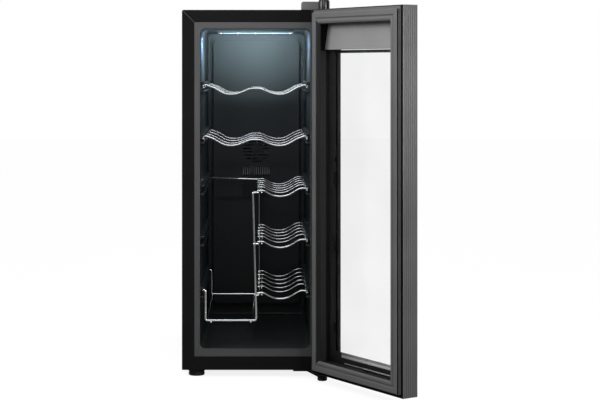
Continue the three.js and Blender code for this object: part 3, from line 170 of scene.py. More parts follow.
class Shape:
    """A mesh under construction, in millimetres."""

    def __init__(self) -> None:
        """Starts an empty mesh."""
        self.bm = bmesh.new()

    @classmethod
    def block(cls, low: Point, high: Point) -> "Shape":
        """Makes a box.

        Args:
            low: Its lowest corner.
            high: Its highest corner.

        Returns:
            The box.
        """
        shape = cls()
        start, end = Vector(low), Vector(high)
        place = Matrix.Translation((start + end) / 2) @ Matrix.Diagonal((*(end - start), 1.0))
        bmesh.ops.create_cube(shape.bm, size=1.0, matrix=place)
        return shape

    @classmethod
    def plate(cls, low: Point, high: Point, radius: float = 0.0, segments: int = 8) -> "Shape":
        """Makes a slab whose corners are round when it is seen from the front.

        Args:
            low: Its lowest corner.
            high: Its highest corner.
            radius: Radius of the four corners.
            segments: Steps in each corner.

        Returns:
            The slab.
        """
        shape = cls()
        start, end = Vector(low), Vector(high)
        middle, size = (start + end) / 2, end - start
        place = Matrix.Translation((middle.x, start.y, middle.z)) @ FRONT
        place = place @ Matrix.Diagonal((size.x, size.z, 1, 1))
        grid = bmesh.ops.create_grid(shape.bm, x_segments=1, y_segments=1, size=0.5, matrix=place)
        if radius > 0:
            shape.bevelled(grid["verts"], radius, segments, "VERTICES")
        return shape.grown(Vector((0.0, size.y, 0.0)))

    @classmethod
    def prism(cls, points: Iterable[Point], reach: Point) -> "Shape":
        """Makes a prism from its flat end.

        Args:
            points: The corners of one end, in order.
            reach: The way and distance from that end to the other.

        Returns:
            The prism.
        """
        shape = cls()
        shape.bm.faces.new([shape.bm.verts.new(point) for point in points])
        return shape.grown(Vector(reach))

    @classmethod
    def turned(cls, profile: Section, foot: Point, axis: Axis = Axis.UP, steps: int = 32) -> "Shape":
        """Turns a piece on a lathe.

        Args:
            profile: (radius, height) points from one end to the other.
            foot: Where the axis starts.
            axis: Which way the axis points.
            steps: Sides of the piece.

        Returns:
            The turned piece.
        """
        shape = cls()
        verts = [shape.bm.verts.new((radius, 0.0, height)) for radius, height in profile]
        edges = [shape.bm.edges.new(pair) for pair in zip(verts, verts[1:])]
        bmesh.ops.spin(shape.bm, geom=verts + edges, cent=(0, 0, 0), axis=(0, 0, 1), dvec=(0, 0, 0),
                       angle=2 * math.pi, steps=steps, use_merge=True, use_duplicate=False)
        bmesh.ops.remove_doubles(shape.bm, verts=shape.bm.verts[:], dist=1e-4)
        return shape.moved(Matrix.Translation(foot) @ axis.turn()).outward()

    @classmethod
    def post(cls, radius: float, steps_in: Section, foot: Point, sides: int) -> "Shape":
        """Turns an upright piece.

        Args:
            radius: Its greatest radius.
            steps_in: (distance inside that radius, height) points from one end to the other.
            foot: Where the axis starts.
            sides: Sides of the piece.

        Returns:
            The turned piece.
        """
        return cls.turned([(radius - inset, height) for inset, height in steps_in], foot, steps=sides)

    @classmethod
    def mitred(cls, section: Section, half: tuple[float, float], middle: float, seam: float) -> "Shape":
        """Makes a frame of four straight lengths that meet in mitred corners.

        Args:
            section: Closed section as (outward, y) points.
            half: Half the width and half the height of the opening.
            middle: Height of the opening's middle.
            seam: Open joint left on each side of a mitre.

        Returns:
            The four lengths.
        """
        shape = cls()
        for side in (1.0, -1.0):
            top = [(half[0] + out - seam, y, middle + side * (half[1] + out)) for out, y in section]
            upright = [(side * (half[0] + out), y, middle + half[1] + out - seam) for out, y in section]
            shape.join(cls.mirrored_length(top, Vector((-1.0, 1.0, 1.0)), 0.0))
            shape.join(cls.mirrored_length(upright, Vector((1.0, 1.0, -1.0)), middle))
        return shape.outward()

    @classmethod
    def mirrored_length(cls, end: Sequence[Point], flip: Vector, middle: float) -> "Shape":
        """Draws one length of a frame from its end to that end's mirror image."""
        shape = cls()
        face = shape.bm.faces.new([shape.bm.verts.new(point) for point in end])
        moved = picked(bmesh.ops.extrude_face_region(shape.bm, geom=[face])["geom"], bmesh.types.BMVert)
        bmesh.ops.scale(shape.bm, vec=flip, space=Matrix.Translation((0, 0, -middle)), verts=moved)
        return shape.closed()

    @classmethod
    def hoop(cls, section: Section, half: tuple[float, float], middle: float, radius: float,
             segments: int = 10) -> "Shape":
        """Sweeps a section round an opening with round corners.

        Args:
            section: Closed section as (outward, y) points.
            half: Half the width and half the height of the opening.
            middle: Height of the opening's middle.
            radius: Radius of the opening's corners.
            segments: Steps in each corner.

        Returns:
            The swept ring.
        """
        shape = cls()
        run_x, run_z = half[0] - radius, half[1] - radius
        verts = [shape.bm.verts.new((half[0] + out, y, middle + run_z)) for out, y in section]
        edges = [shape.bm.edges.new(pair) for pair in zip(verts, verts[1:] + verts[:1])]
        corners = [(run_x, run_z), (-run_x, run_z), (-run_x, -run_z), (run_x, -run_z)]
        last: list = verts + edges
        for index, (x, z) in enumerate(corners):
            turn = bmesh.ops.spin(shape.bm, geom=last, cent=(x, 0, middle + z), axis=(0, -1, 0),
                                  dvec=(0, 0, 0), angle=math.pi / 2, steps=segments, use_merge=False,
                                  use_duplicate=False)
            ends = picked(turn["geom_last"], bmesh.types.BMEdge)
            run = bmesh.ops.extrude_edge_only(shape.bm, edges=ends)["geom"]
            next_x, next_z = corners[(index + 1) % 4]
            moved = picked(run, bmesh.types.BMVert)
            bmesh.ops.translate(shape.bm, vec=Vector((next_x - x, 0, next_z - z)), verts=moved)
            last = moved + [edge for edge in picked(run, bmesh.types.BMEdge)
                            if all(vert in moved for vert in edge.verts)]
        bmesh.ops.remove_doubles(shape.bm, verts=shape.bm.verts[:], dist=1e-3)
        return shape.outward()

    @classmethod
    def packed(cls, node: str, place: Matrix) -> "Shape":
        """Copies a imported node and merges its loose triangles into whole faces.

        Args:
            node: The node's name.
            place: The space that the copy is drawn in.

        Returns:
            The copy.
        """
        shape = cls()
        shape.bm.from_mesh(frame["nodes"][node].data)
        shape.moved(place.inverted())
        bmesh.ops.remove_doubles(shape.bm, verts=shape.bm.verts[:], dist=0.005)
        bmesh.ops.dissolve_limit(shape.bm, angle_limit=math.radians(0.6), use_dissolve_boundaries=False,
                                 verts=shape.bm.verts[:], edges=shape.bm.edges[:])
        return shape

    def take(self, mesh: bpy.types.Mesh) -> "Shape":
        """Adds a mesh and removes its data block."""
        self.bm.from_mesh(mesh)
        bpy.data.meshes.remove(mesh)
        return self

    def to_mesh(self, name: str) -> bpy.types.Mesh:
        """Writes the shape to a new mesh data block."""
        mesh = bpy.data.meshes.new(name)
        self.bm.to_mesh(mesh)
        return mesh

    def join(self, *others: "Shape") -> "Shape":
        """Adds other shapes' meshes to this one."""
        for other in others:
            self.take(other.to_mesh("joined"))
        return self

    def moved(self, place: Matrix) -> "Shape":
        """Transforms every point."""
        bmesh.ops.transform(self.bm, matrix=place, verts=self.bm.verts[:])
        return self

    def closed(self) -> "Shape":
        """Fills open ends and turns the faces outwards."""
        bmesh.ops.holes_fill(self.bm, edges=self.bm.edges[:], sides=0)
        return self.outward()

    def outward(self) -> "Shape":
        """Turns every face of a closed shape outwards."""
        bmesh.ops.recalc_face_normals(self.bm, faces=self.bm.faces[:])
        return self

    def grown(self, reach: Vector) -> "Shape":
        """Extrudes all the faces into a closed solid.

        Args:
            reach: The way and distance of the extrusion.

        Returns:
            The shape itself.
        """
        made = bmesh.ops.extrude_face_region(self.bm, geom=self.bm.faces[:])["geom"]
        bmesh.ops.translate(self.bm, vec=reach, verts=picked(made, bmesh.types.BMVert))
        return self.closed()

    def rounded(self, width: float, segments: int = 2, sharp: float = 30.0,
                where: Callable[[Vector], bool] = lambda middle: True) -> "Shape":
        """Rounds the sharp edges.

        Args:
            width: How far the rounding reaches from an edge.
            segments: Steps in the rounding.
            sharp: Least angle, in degrees, between the faces of an edge that is rounded.
            where: Test of an edge's middle; without it every sharp edge is rounded.

        Returns:
            The shape itself.
        """
        edges = [edge for edge in self.bm.edges
                 if len(edge.link_faces) == 2 and edge.calc_face_angle(0.0) > math.radians(sharp)
                 and where((edge.verts[0].co + edge.verts[1].co) / 2)]
        return self.bevelled(edges, width, segments, "EDGES")

    def bevelled(self, parts: list, width: float, segments: int, kind: str) -> "Shape":
        """Cuts round bevels at points or edges."""
        bmesh.ops.bevel(self.bm, geom=parts, offset=width, offset_type="OFFSET", segments=segments,
                        profile=0.5, affect=kind, clamp_overlap=False, material=-1)
        return self

    def carved(self, tool: "Shape") -> "Shape":
        """Cuts another shape out of this one and returns this one."""
        body, cutter = linked("body", self.to_mesh("body")), linked("cutter", tool.to_mesh("cutter"))
        cut = body.modifiers.new("cut", "BOOLEAN")
        cut.object, cut.solver, cut.operation = cutter, "EXACT", "DIFFERENCE"
        result = evaluated(body)
        for item in (body, cutter):
            mesh = item.data
            bpy.data.objects.remove(item)
            bpy.data.meshes.remove(mesh)
        self.bm.clear()
        return self.take(result)


@dataclass(frozen=True)
class Wire:
    """One length of round wire."""

    points: tuple[Point, ...]
    radius: float
    wave: bool = False

    @staticmethod
    def bent(corners: Sequence[Point], bend: float, steps: int = 7) -> tuple[Point, ...]:
        """Rounds the corners of a line, as a wire bender does.

        Args:
            corners: The points where straight runs would meet.
            bend: How far from a corner the bend starts.
            steps: Steps in each bend.

        Returns:
            The points of the bent line.
        """
        line = [Vector(corner) for corner in corners]
        path = [line[0]]
        for before, here, after in zip(line, line[1:], line[2:]):
            start = here + (before - here).normalized() * bend
            end = here + (after - here).normalized() * bend
            for index in range(steps + 1):
                t = index / steps
                path.append(start.lerp(here, t).lerp(here.lerp(end, t), t))
        path.append(line[-1])
        return tuple(tuple(point) for point in path)

    def stations(self) -> list[tuple[Vector, float]]:
        """Centre-line points with the wire's radius there; both ends are slightly rounded."""
        line = [Vector(point) for point in self.points]
        stations = [(point, self.radius) for point in line]
        for end, inner in ((0, 1), (-1, -2)):
            way = (line[inner] - line[end]).normalized()
            tip = [(line[end] + way * self.radius * step, self.radius * share)
                   for step, share in ((0.0, 0.55), (0.25, 0.85), (0.7, 1.0))]
            stations = tip + stations[1:] if end == 0 else stations[:-1] + tip[::-1]
        return stations


def drawn_wires(wires: Iterable[Wire], sides: int = 12) -> Shape:
    """Draws wires as round curves and takes their mesh.

    Args:
        wires: The wires.
        sides: Sides of a wire's section.

    Returns:
        One shape with all the wires.
    """
    curve = bpy.data.curves.new("wires", "CURVE")
    curve.dimensions, curve.bevel_depth, curve.use_fill_caps = "3D", 1.0, True
    curve.bevel_resolution, curve.resolution_u = sides // 2 - 2, 9
    for wire in wires:
        if wire.wave:
            spline = curve.splines.new("BEZIER")
            spline.bezier_points.add(len(wire.points) - 1)
            for station, place in zip(spline.bezier_points, wire.points):
                station.co, station.radius = place, wire.radius
                station.handle_left_type = station.handle_right_type = "AUTO"
        else:
            stations = wire.stations()
            spline = curve.splines.new("POLY")
            spline.points.add(len(stations) - 1)
            for point, (place, radius) in zip(spline.points, stations):
                point.co, point.radius = (*place, 1.0), radius
    item = linked("wires", curve)
    shape = Shape().take(evaluated(item))
    bpy.data.objects.remove(item)
    bpy.data.curves.remove(curve)
    bmesh.ops.remove_doubles(shape.bm, verts=shape.bm.verts[:], dist=1e-4)
    return shape.outward()


def weld_bead(place: Point, reach: Point) -> Shape:
    """Makes the swelling where two wires are welded, from its middle and its half lengths."""
    shape = Shape()
    bmesh.ops.create_uvsphere(shape.bm, u_segments=10, v_segments=6, radius=1.0,
                              matrix=Matrix.Translation(place) @ Matrix.Diagonal((*reach, 1.0)))
    return shape


# ---------------------------------------------------------------- surface effects

class Graph:
    """A node tree being wired up."""

    def __init__(self, tree: bpy.types.NodeTree) -> None:
        """Takes the tree to work on."""
        self.tree = tree
        self.shader = tree.nodes.get("Principled BSDF")

    def node(self, kind: str, **settings: object) -> bpy.types.Node:
        """Adds a node and sets its properties."""
        made = self.tree.nodes.new(kind)
        for name, value in settings.items():
            setattr(made, name, value)
        return made

    def feed(self, source: object, target: bpy.types.NodeSocket) -> None:
        """Links a socket to an input, or sets the input's value."""
        if isinstance(source, bpy.types.NodeSocket):
            self.tree.links.new(source, target)
        else:
            target.default_value = source

    def fill(self, node: bpy.types.Node, **values: object) -> bpy.types.Node:
        """Feeds a node's inputs, named with underscores for spaces."""
        for name, value in values.items():
            self.feed(value, node.inputs[name.replace("_", " ")])
        return node

    def noise(self, vector: object, scale: object, detail: float) -> bpy.types.NodeSocket:
        """Adds a noise texture and returns its value."""
        made = self.fill(self.node("ShaderNodeTexNoise"), Vector=vector, Scale=scale, Detail=detail)
        return made.outputs["Fac"]

    def math(self, operation: str, *values: object) -> bpy.types.NodeSocket:
        """Adds a math node and returns its value."""
        made = self.node("ShaderNodeMath", operation=operation)
        for value, socket in zip(values, made.inputs):
            self.feed(value, socket)
        return made.outputs[0]

    def mapped(self, value: object, low: object, high: object, start: float = 0.3,
               end: float = 0.7) -> bpy.types.NodeSocket:
        """Maps a value from start and end to low and high, held between them."""
        made = self.fill(self.node("ShaderNodeMapRange"), Value=value, From_Min=start, From_Max=end,
                         To_Min=low, To_Max=high)
        return made.outputs["Result"]

    def blended(self, share: object, first: object, second: object,
                way: str = "MIX") -> bpy.types.NodeSocket:
        """Mixes two colours by a share."""
        made = self.node("ShaderNodeMix", data_type="RGBA", blend_type=way)
        for item, index in ((share, 0), (first, 6), (second, 7)):
            self.feed(item, made.inputs[index])
        return made.outputs[2]

    def skin(self, scale: float, lay: "Lay", cloud: float) -> bpy.types.Node:
        """Adds the group of fine relief and slow cloud."""
        made = self.node("ShaderNodeGroup", node_tree=skin_effect())
        return self.fill(made, Scale=scale, Stretch=lay.value, Cloud_Scale=cloud)

    def drifted(self, colour: object, cloud: bpy.types.NodeSocket, amount: float) -> bpy.types.NodeSocket:
        """Adds the group that lets a colour drift, and returns the colour."""
        made = self.node("ShaderNodeGroup", node_tree=drift_effect())
        return self.fill(made, Colour=colour, Cloud=cloud, Amount=amount).outputs["Colour"]

    def seen(self) -> bpy.types.NodeSocket:
        """Gives 1 where the camera looks, straight or through glass, and 0 elsewhere."""
        path = self.node("ShaderNodeLightPath").outputs
        return self.math("MAXIMUM", path["Is Camera Ray"], path["Is Transmission Ray"])

    def surface(self, kind: str, *shaders: object) -> None:
        """Joins shaders by a node of a kind and makes the result the material's surface."""
        joined = self.node(kind)
        for shader, socket in zip(shaders, joined.inputs):
            self.feed(shader, socket)
        self.feed(joined.outputs[0], self.tree.nodes["Material Output"].inputs["Surface"])


def effect(name: str, inputs: str, outputs: str) -> tuple[Graph, object, bpy.types.Node]:
    """Starts a node group.

    Args:
        name: The group's name.
        inputs: Its inputs as "label:kind" items with commas between them.
        outputs: Its outputs in the same form.

    Returns:
        The group's graph, its inputs' sockets and its output node.
    """
    tree = bpy.data.node_groups.new(name, "ShaderNodeTree")
    for way, sockets in (("INPUT", inputs), ("OUTPUT", outputs)):
        for item in sockets.split(", "):
            label, kind = item.split(":")
            tree.interface.new_socket(name=label, in_out=way, socket_type="NodeSocket" + kind)
    graph = Graph(tree)
    return graph, graph.node("NodeGroupInput").outputs, graph.node("NodeGroupOutput")


@cache
def skin_effect() -> bpy.types.ShaderNodeTree:
    """Fine relief of a moulded, sprayed or brushed surface, and a slow cloud of change over it."""
    graph, given, result = effect("fine_skin", "Scale:Float, Stretch:Vector, Cloud Scale:Float",
                                  "Height:Float, Cloud:Float")
    place = graph.node("ShaderNodeTexCoord").outputs["Object"]
    drawn = graph.node("ShaderNodeVectorMath", operation="MULTIPLY")
    graph.feed(place, drawn.inputs[0])
    graph.feed(given["Stretch"], drawn.inputs[1])
    graph.fill(result, Height=graph.noise(drawn.outputs[0], given["Scale"], 3.0),
               Cloud=graph.noise(place, given["Cloud Scale"], 4.0))
    return graph.tree


@cache
def drift_effect() -> bpy.types.ShaderNodeTree:
    """Colour that grows slightly lighter and darker over a surface."""
    graph, given, result = effect("colour_drift", "Colour:Color, Amount:Float, Cloud:Float", "Colour:Color")
    darker = graph.math("SUBTRACT", 1.0, given["Amount"])
    lighter = graph.math("ADD", 1.0, given["Amount"])
    level = graph.mapped(given["Cloud"], darker, lighter)
    grey = graph.fill(graph.node("ShaderNodeCombineColor"), Red=level, Green=level, Blue=level)
    graph.fill(result, Colour=graph.blended(1.0, given["Colour"], grey.outputs[0], "MULTIPLY"))
    return graph.tree


@cache
def dust_effect() -> bpy.types.ShaderNodeTree:
    """Thin film of dust on faces that look up."""
    graph, given, result = effect("settled_dust", "Colour:Color, Amount:Float, Cloud:Float",
                                  "Colour:Color, Mask:Float")
    parts = graph.node("ShaderNodeSeparateXYZ")
    graph.feed(graph.node("ShaderNodeNewGeometry").outputs["Normal"], parts.inputs[0])
    upward = graph.mapped(parts.outputs["Z"], 0.0, 1.0, 0.75, 1.0)
    film = graph.mapped(given["Cloud"], 0.35, 1.0)
    mask = graph.math("MULTIPLY", graph.math("MULTIPLY", upward, film), given["Amount"])
    graph.fill(result, Colour=graph.blended(mask, given["Colour"], DUST_GREY), Mask=mask)
    return graph.tree


class Lay(Enum):
    """Direction in which the fine relief of a surface is drawn out."""

    EVEN = (1.0, 1.0, 1.0)
    ALONG_X = (0.03, 1.0, 1.0)
    ALONG_Z = (1.0, 1.0, 0.03)


@dataclass(frozen=True)
class Surface:
    """What every finish has: a name, the material slot it stands for and a colour."""

    name: str
    slot: str
    colour: Colour

    @cache
    def material(self) -> bpy.types.Material:
        """Builds the material once."""
        material = bpy.data.materials.new(self.name)
        material.use_nodes = True
        self.wire(Graph(material.node_tree))
        material.diffuse_color = (*self.colour, 1.0)
        return material

    def wire(self, graph: Graph) -> None:
        """Wires the material's nodes; each kind of finish does this in its own way."""
        raise NotImplementedError


@dataclass(frozen=True)
class Finish(Surface):
    """An opaque surface finish. Lengths are in metres, and scales are per metre."""

    roughness: float
    metallic: float = 0.0
    specular: float = 0.5
    sheen: float = 0.0
    drift: float = 0.08
    grain: float = 900.0
    relief: float = 0.00002
    lay: Lay = Lay.EVEN
    cloud: float = 14.0
    smudge: float = 0.05
    dust: float = 0.0

    def wire(self, graph: Graph) -> None:
        """Wires relief, drifting colour, dust and uneven gloss."""
        skin = graph.skin(self.grain, self.lay, self.cloud)
        cloud = skin.outputs["Cloud"]
        colour = graph.drifted((*self.colour, 1.0), cloud, self.drift)
        if self.dust > 0:
            film = graph.node("ShaderNodeGroup", node_tree=dust_effect())
            colour = graph.fill(film, Colour=colour, Cloud=cloud, Amount=self.dust).outputs["Colour"]
        rough = graph.mapped(cloud, max(0.02, self.roughness - self.smudge),
                             min(1.0, self.roughness + self.smudge))
        bump = graph.fill(graph.node("ShaderNodeBump"), Distance=self.relief, Height=skin.outputs["Height"])
        graph.fill(graph.shader, Base_Color=colour, Roughness=rough, Normal=bump.outputs["Normal"],
                   Metallic=self.metallic, Specular_IOR_Level=self.specular, Sheen_Weight=self.sheen)


@dataclass(frozen=True)
class Lamp(Surface):
    """A lit translucent surface that is brighter over its light sources."""

    strength: float

    def wire(self, graph: Graph) -> None:
        """Wires the glow."""
        skin = graph.skin(1500.0, Lay.ALONG_X, 60.0)
        colour = graph.drifted((*self.colour, 1.0), skin.outputs["Cloud"], 0.06)
        graph.fill(graph.shader, Base_Color=colour, Emission_Color=colour, Emission_Strength=self.strength,
                   Roughness=0.3)


@dataclass(frozen=True)
class Glass(Surface):
    """Clear float glass with the faintest film on it; lamps shine through it."""

    film: float

    def wire(self, graph: Graph) -> None:
        """Wires glass for the eye and clear air for shadows."""
        skin = graph.skin(220.0, Lay.ALONG_Z, 9.0)
        colour = graph.drifted((*self.colour, 1.0), skin.outputs["Cloud"], 0.012)
        graph.fill(graph.shader, Base_Color=colour, Roughness=self.film, IOR=1.12, Transmission_Weight=1.0)
        graph.surface("ShaderNodeMixShader", graph.node("ShaderNodeLightPath").outputs["Is Shadow Ray"],
                      graph.shader.outputs[0], graph.node("ShaderNodeBsdfTransparent").outputs[0])


@dataclass(frozen=True)
class Board(Surface):
    """Lacquered circuit board with tinned tracks under the lacquer."""

    track: Colour

    def wire(self, graph: Graph) -> None:
        """Wires the tracks and the lacquer."""
        turned = graph.fill(graph.node("ShaderNodeMapping"), Rotation=(math.radians(90.0), 0.0, 0.0),
                            Vector=graph.node("ShaderNodeTexCoord").outputs["Object"])
        bricks = graph.fill(graph.node("ShaderNodeTexBrick"), Vector=turned.outputs[0], Scale=180.0,
                            Mortar_Size=0.06, Color1=(*self.colour, 1.0),
                            Color2=(*(part * 0.8 for part in self.colour), 1.0), Mortar=(*self.track, 1.0))
        cloud = graph.skin(700.0, Lay.EVEN, 40.0).outputs["Cloud"]
        graph.fill(graph.shader, Base_Color=graph.drifted(bricks.outputs["Color"], cloud, 0.15),
                   Roughness=graph.mapped(cloud, 0.25, 0.45))


POWDER_COAT = Finish("black_powder_coat", "black_steel", (0.0088, 0.0088, 0.009), 0.6, specular=0.03,
                     grain=1400.0, relief=0.00003, dust=0.02)
SIDE_COAT = Finish("black_side_coat", "black_steel", (0.017, 0.0172, 0.018), 0.42, grain=1400.0,
                   relief=0.00003, dust=0.02)
SATIN_BLACK = Finish("satin_black_moulding", "black_plastic", (0.011, 0.011, 0.012), 0.38, specular=0.35,
                     dust=0.02)
MATT_BLACK = Finish("matt_black_moulding", "black_plastic", (0.014, 0.014, 0.015), 0.55, specular=0.3,
                    grain=1600.0, relief=0.00003, dust=0.02)
POLISHED_BLACK = Finish("polished_black_barrel", "black_plastic", (0.032, 0.032, 0.033), 0.16,
                        metallic=1.0, grain=500.0, relief=0.000004, smudge=0.03)
# Grey much lighter than the cover's black moulding: painted light for its lit faces. The same grey paints the
# highlights on the flange seams.
COVER_PAINTED_LIGHT = Finish("hinge_cover_painted_light", "black_plastic", (0.125, 0.125, 0.126), 0.45, specular=0.35,
                    dust=0.02)
# Grey much lighter than the rails' black moulding: painted light for their lit end faces.
TRIM_PAINTED_LIGHT = Finish("door_trim_painted_light", "black_plastic", (0.11, 0.11, 0.111), 0.36, metallic=0.2, specular=0.45,
                   grain=1200.0, relief=0.000015, lay=Lay.ALONG_Z, dust=0.01)
ENAMEL = Finish("fired_black_enamel", "clear_glass", (0.003, 0.003, 0.0032), 0.12, drift=0.04,
                relief=0.000004, smudge=0.03)
SOFT_ENAMEL = Finish("fired_grey_enamel", "clear_glass", (0.006, 0.006, 0.0063), 0.3, specular=0.3,
                     drift=0.06, relief=0.000004)
SEALANT = Finish("black_sealant", "black_plastic", (0.006, 0.006, 0.006), 0.5, specular=0.25,
                 relief=0.00004, grain=300.0)
# Black lining for the jamb: its near-black is painted shade, darker than the trim beside it.
JAMB_SHADE = Finish("door_lining_painted_shade", "black_plastic", (0.011, 0.011, 0.011), 0.5, specular=0.2, relief=0.00001)
# Near-black sheets standing in for shade in grooves, undercuts and on the hinge-side wall.
DEEP_SHADE = Finish("painted_deep_shade", "black_plastic", (0.002, 0.002, 0.002), 0.6, specular=0.08, relief=0.00001)
# A darker copy of the gasket rubber: painted shade on the gasket's inner slope.
FOLD_SHADE = Finish("rubber_fold_painted_shade", "rubber", (0.0105, 0.0105, 0.0105), 0.5, specular=0.15)
# Bluish grey on the black light-bar housing: the diodes' glow painted on it.
BAR_GLOW = Finish("light_bar_painted_glow", "black_plastic", (0.16, 0.2, 0.22), 0.5, specular=0.3, relief=0.00001)
# A lighter copy of the lining for the hinge-side wall: painted light.
HINGE_SIDE_LIGHT = Finish("hinge_side_painted_light", "black_plastic", (0.015, 0.015, 0.015), 0.5, specular=0.2,
                     relief=0.00001)
SPACER_GREY = Finish("spacer_grey", "black_plastic", (0.0125, 0.0125, 0.0125), 0.4, specular=0.2,
                     relief=0.00001)
# Painted highlight of a glass edge catching light.
EDGE_HIGHLIGHT = Finish("painted_edge_highlight", "clear_glass", (0.85, 0.85, 0.85), 0.35, metallic=1.0, relief=0.000003)
# A darker copy of the silvered strip: painted shade on the upper half of the window's foot.
SHADED_SILVER = Finish("silvered_painted_shade", "clear_glass", (0.19, 0.19, 0.19), 0.3, metallic=1.0,
                    relief=0.000003, drift=0.05)
# The lit copy of the silvered strip, for the lower half of the window's foot.
SILVERED = Finish("silvered_edge", "clear_glass", (0.5, 0.5, 0.5), 0.3, metallic=1.0, relief=0.000003,
                  drift=0.05)
SPACER = Finish("spacer_bar", "black_plastic", (0.02, 0.02, 0.02), 0.35, metallic=0.3, relief=0.00001)
RIM_SKIN = Finish("rim_skin", "rim_plastic", (0.062, 0.062, 0.063), 0.42, specular=0.35, cloud=8.0)
LINER_SKIN = Finish("liner_skin", "liner_plastic", (0.018, 0.0196, 0.0216), 0.38, specular=0.3,
                    grain=1100.0, relief=0.000006, cloud=10.0, smudge=0.04)
COVER_SKIN = Finish("duct_cover_skin", "liner_plastic", (0.0165, 0.0178, 0.019), 0.42, specular=0.25,
                    grain=1100.0, relief=0.000008, cloud=10.0)
GREY_SKIN = Finish("control_housing_skin", "grey_plastic", (0.26, 0.26, 0.262), 0.45, specular=0.2,
                   drift=0.04, grain=1200.0, relief=0.00001)
SEAL_RUBBER = Finish("gasket_vinyl", "rubber", (0.115, 0.115, 0.116), 0.42, specular=0.35, sheen=0.03,
                     grain=700.0, relief=0.00004)
FOOT_RUBBER = Finish("foot_rubber", "rubber", (0.014, 0.014, 0.014), 0.6, specular=0.3, sheen=0.04,
                     grain=800.0, relief=0.00006, dust=0.05)
FOAM = Finish("rigid_foam", "foam", (0.75, 0.66, 0.38), 0.9, specular=0.15, drift=0.12, grain=420.0,
              relief=0.0004)
ZINC = Finish("zinc_plate", "zinc_steel", (0.55, 0.57, 0.58), 0.34, metallic=1.0, drift=0.12, grain=260.0,
              relief=0.00001, cloud=45.0, smudge=0.1)
DARK_ZINC = Finish("black_zinc_screw", "zinc_steel", (0.12, 0.12, 0.125), 0.36, metallic=0.9, grain=900.0,
                   relief=0.00001)
ALUMINIUM = Finish("extruded_aluminium", "aluminium", (0.72, 0.73, 0.74), 0.36, metallic=1.0, grain=900.0,
                   lay=Lay.ALONG_Z)
CHROME = Finish("chrome_plate", "chrome_wire", (0.74, 0.75, 0.76), 0.12, metallic=1.0, drift=0.03,
                grain=350.0, relief=0.000006, cloud=30.0, smudge=0.04)
CERAMIC = Finish("module_ceramic", "module_ceramic", (0.85, 0.85, 0.82), 0.7, specular=0.2, grain=1500.0)
CLEAR_GLASS = Glass("float_glass", "clear_glass", (0.945, 0.947, 0.946), 0.0)
CIRCUIT = Board("circuit_board", "circuit_board", (0.02, 0.13, 0.05), (0.09, 0.2, 0.07))
LIT_LENS = Lamp("lit_lens", "white_lens", (0.78, 0.93, 1.0), 0.5)
LIT_DIODE = Lamp("lit_diode", "white_lens", (0.85, 0.95, 1.0), 9.0)


# ---------------------------------------------------------------- hanging the pieces

@dataclass(frozen=True)
class Assembly:
    """A sub-assembly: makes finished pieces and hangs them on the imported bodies."""

    datum: Datum
    body: ClassVar[str] = CABINET_BODY

    def build(self) -> None:
        """Makes all the pieces of the sub-assembly."""
        raise NotImplementedError

    def place(self, body: str) -> Matrix:
        """Space in which a body's pieces are drawn: door space for the door, cabinet space for the rest."""
        return self.datum.door if body == DOOR_BODY else self.datum.cabinet

    def span(self, node: str) -> Span:
        """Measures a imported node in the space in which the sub-assembly is drawn."""
        return self.datum.span(node, self.place(self.body))

    def fit(self, shape: Shape, name: str, finish: Surface, nodes: Sequence[str] = (), smooth: float = 34.0,
            even: bool = True, body: str = "") -> None:
        """Turns a shape into a finished piece.

        Args:
            shape: The shape, in the space of its body.
            name: The piece's name.
            finish: What it is finished with.
            nodes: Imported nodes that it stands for.
            smooth: Largest angle, in degrees, that is shaded as one curve.
            even: Whether flat faces keep their own shading beside rounded edges.
            body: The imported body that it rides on, if that isn't the sub-assembly's own.
        """
        body = body or self.body
        loose = sum(1 for edge in shape.bm.edges if len(edge.link_faces) != 2)
        shape.moved(self.place(body))
        mesh = shape.to_mesh(name)
        shape.bm.free()
        mesh.shade_smooth()
        mesh.set_sharp_from_angle(angle=math.radians(smooth))
        mesh.materials.append(finish.material())
        item = linked(name, mesh)
        if even:
            weighted = item.modifiers.new("even_faces", "WEIGHTED_NORMAL")
            weighted.keep_sharp, weighted.weight = True, 60
        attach(item, body)
        if nodes:
            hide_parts(*nodes)
        LOG.info("%s: %d faces, %d open edges, on %s", name, len(mesh.polygons), loose, body)

    def dress(self, finish: Surface, *nodes: str) -> None:
        """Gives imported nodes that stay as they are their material."""
        for node in nodes:
            item = frame["nodes"][node]
            if not item.data.materials:
                item.data.materials.append(None)
            for slot in item.material_slots:
                slot.material = finish.material()
            LOG.info("%s keeps its packed shape, in %s", node, finish.name)

    def soften(self, node: str, finish: Surface, width: float, segments: int = 2, body: str = "") -> None:
        """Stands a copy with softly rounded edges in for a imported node.

        Args:
            node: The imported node.
            finish: What the copy is finished with.
            width: How far the rounding reaches from an edge.
            segments: Steps in the rounding.
            body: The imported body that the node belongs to, if that isn't the sub-assembly's own.
        """
        shape = Shape.packed(node, self.place(body or self.body)).rounded(width, segments)
        self.fit(shape, node + "_skin", finish, [node], body=body)


# ---------------------------------------------------------------- cabinet

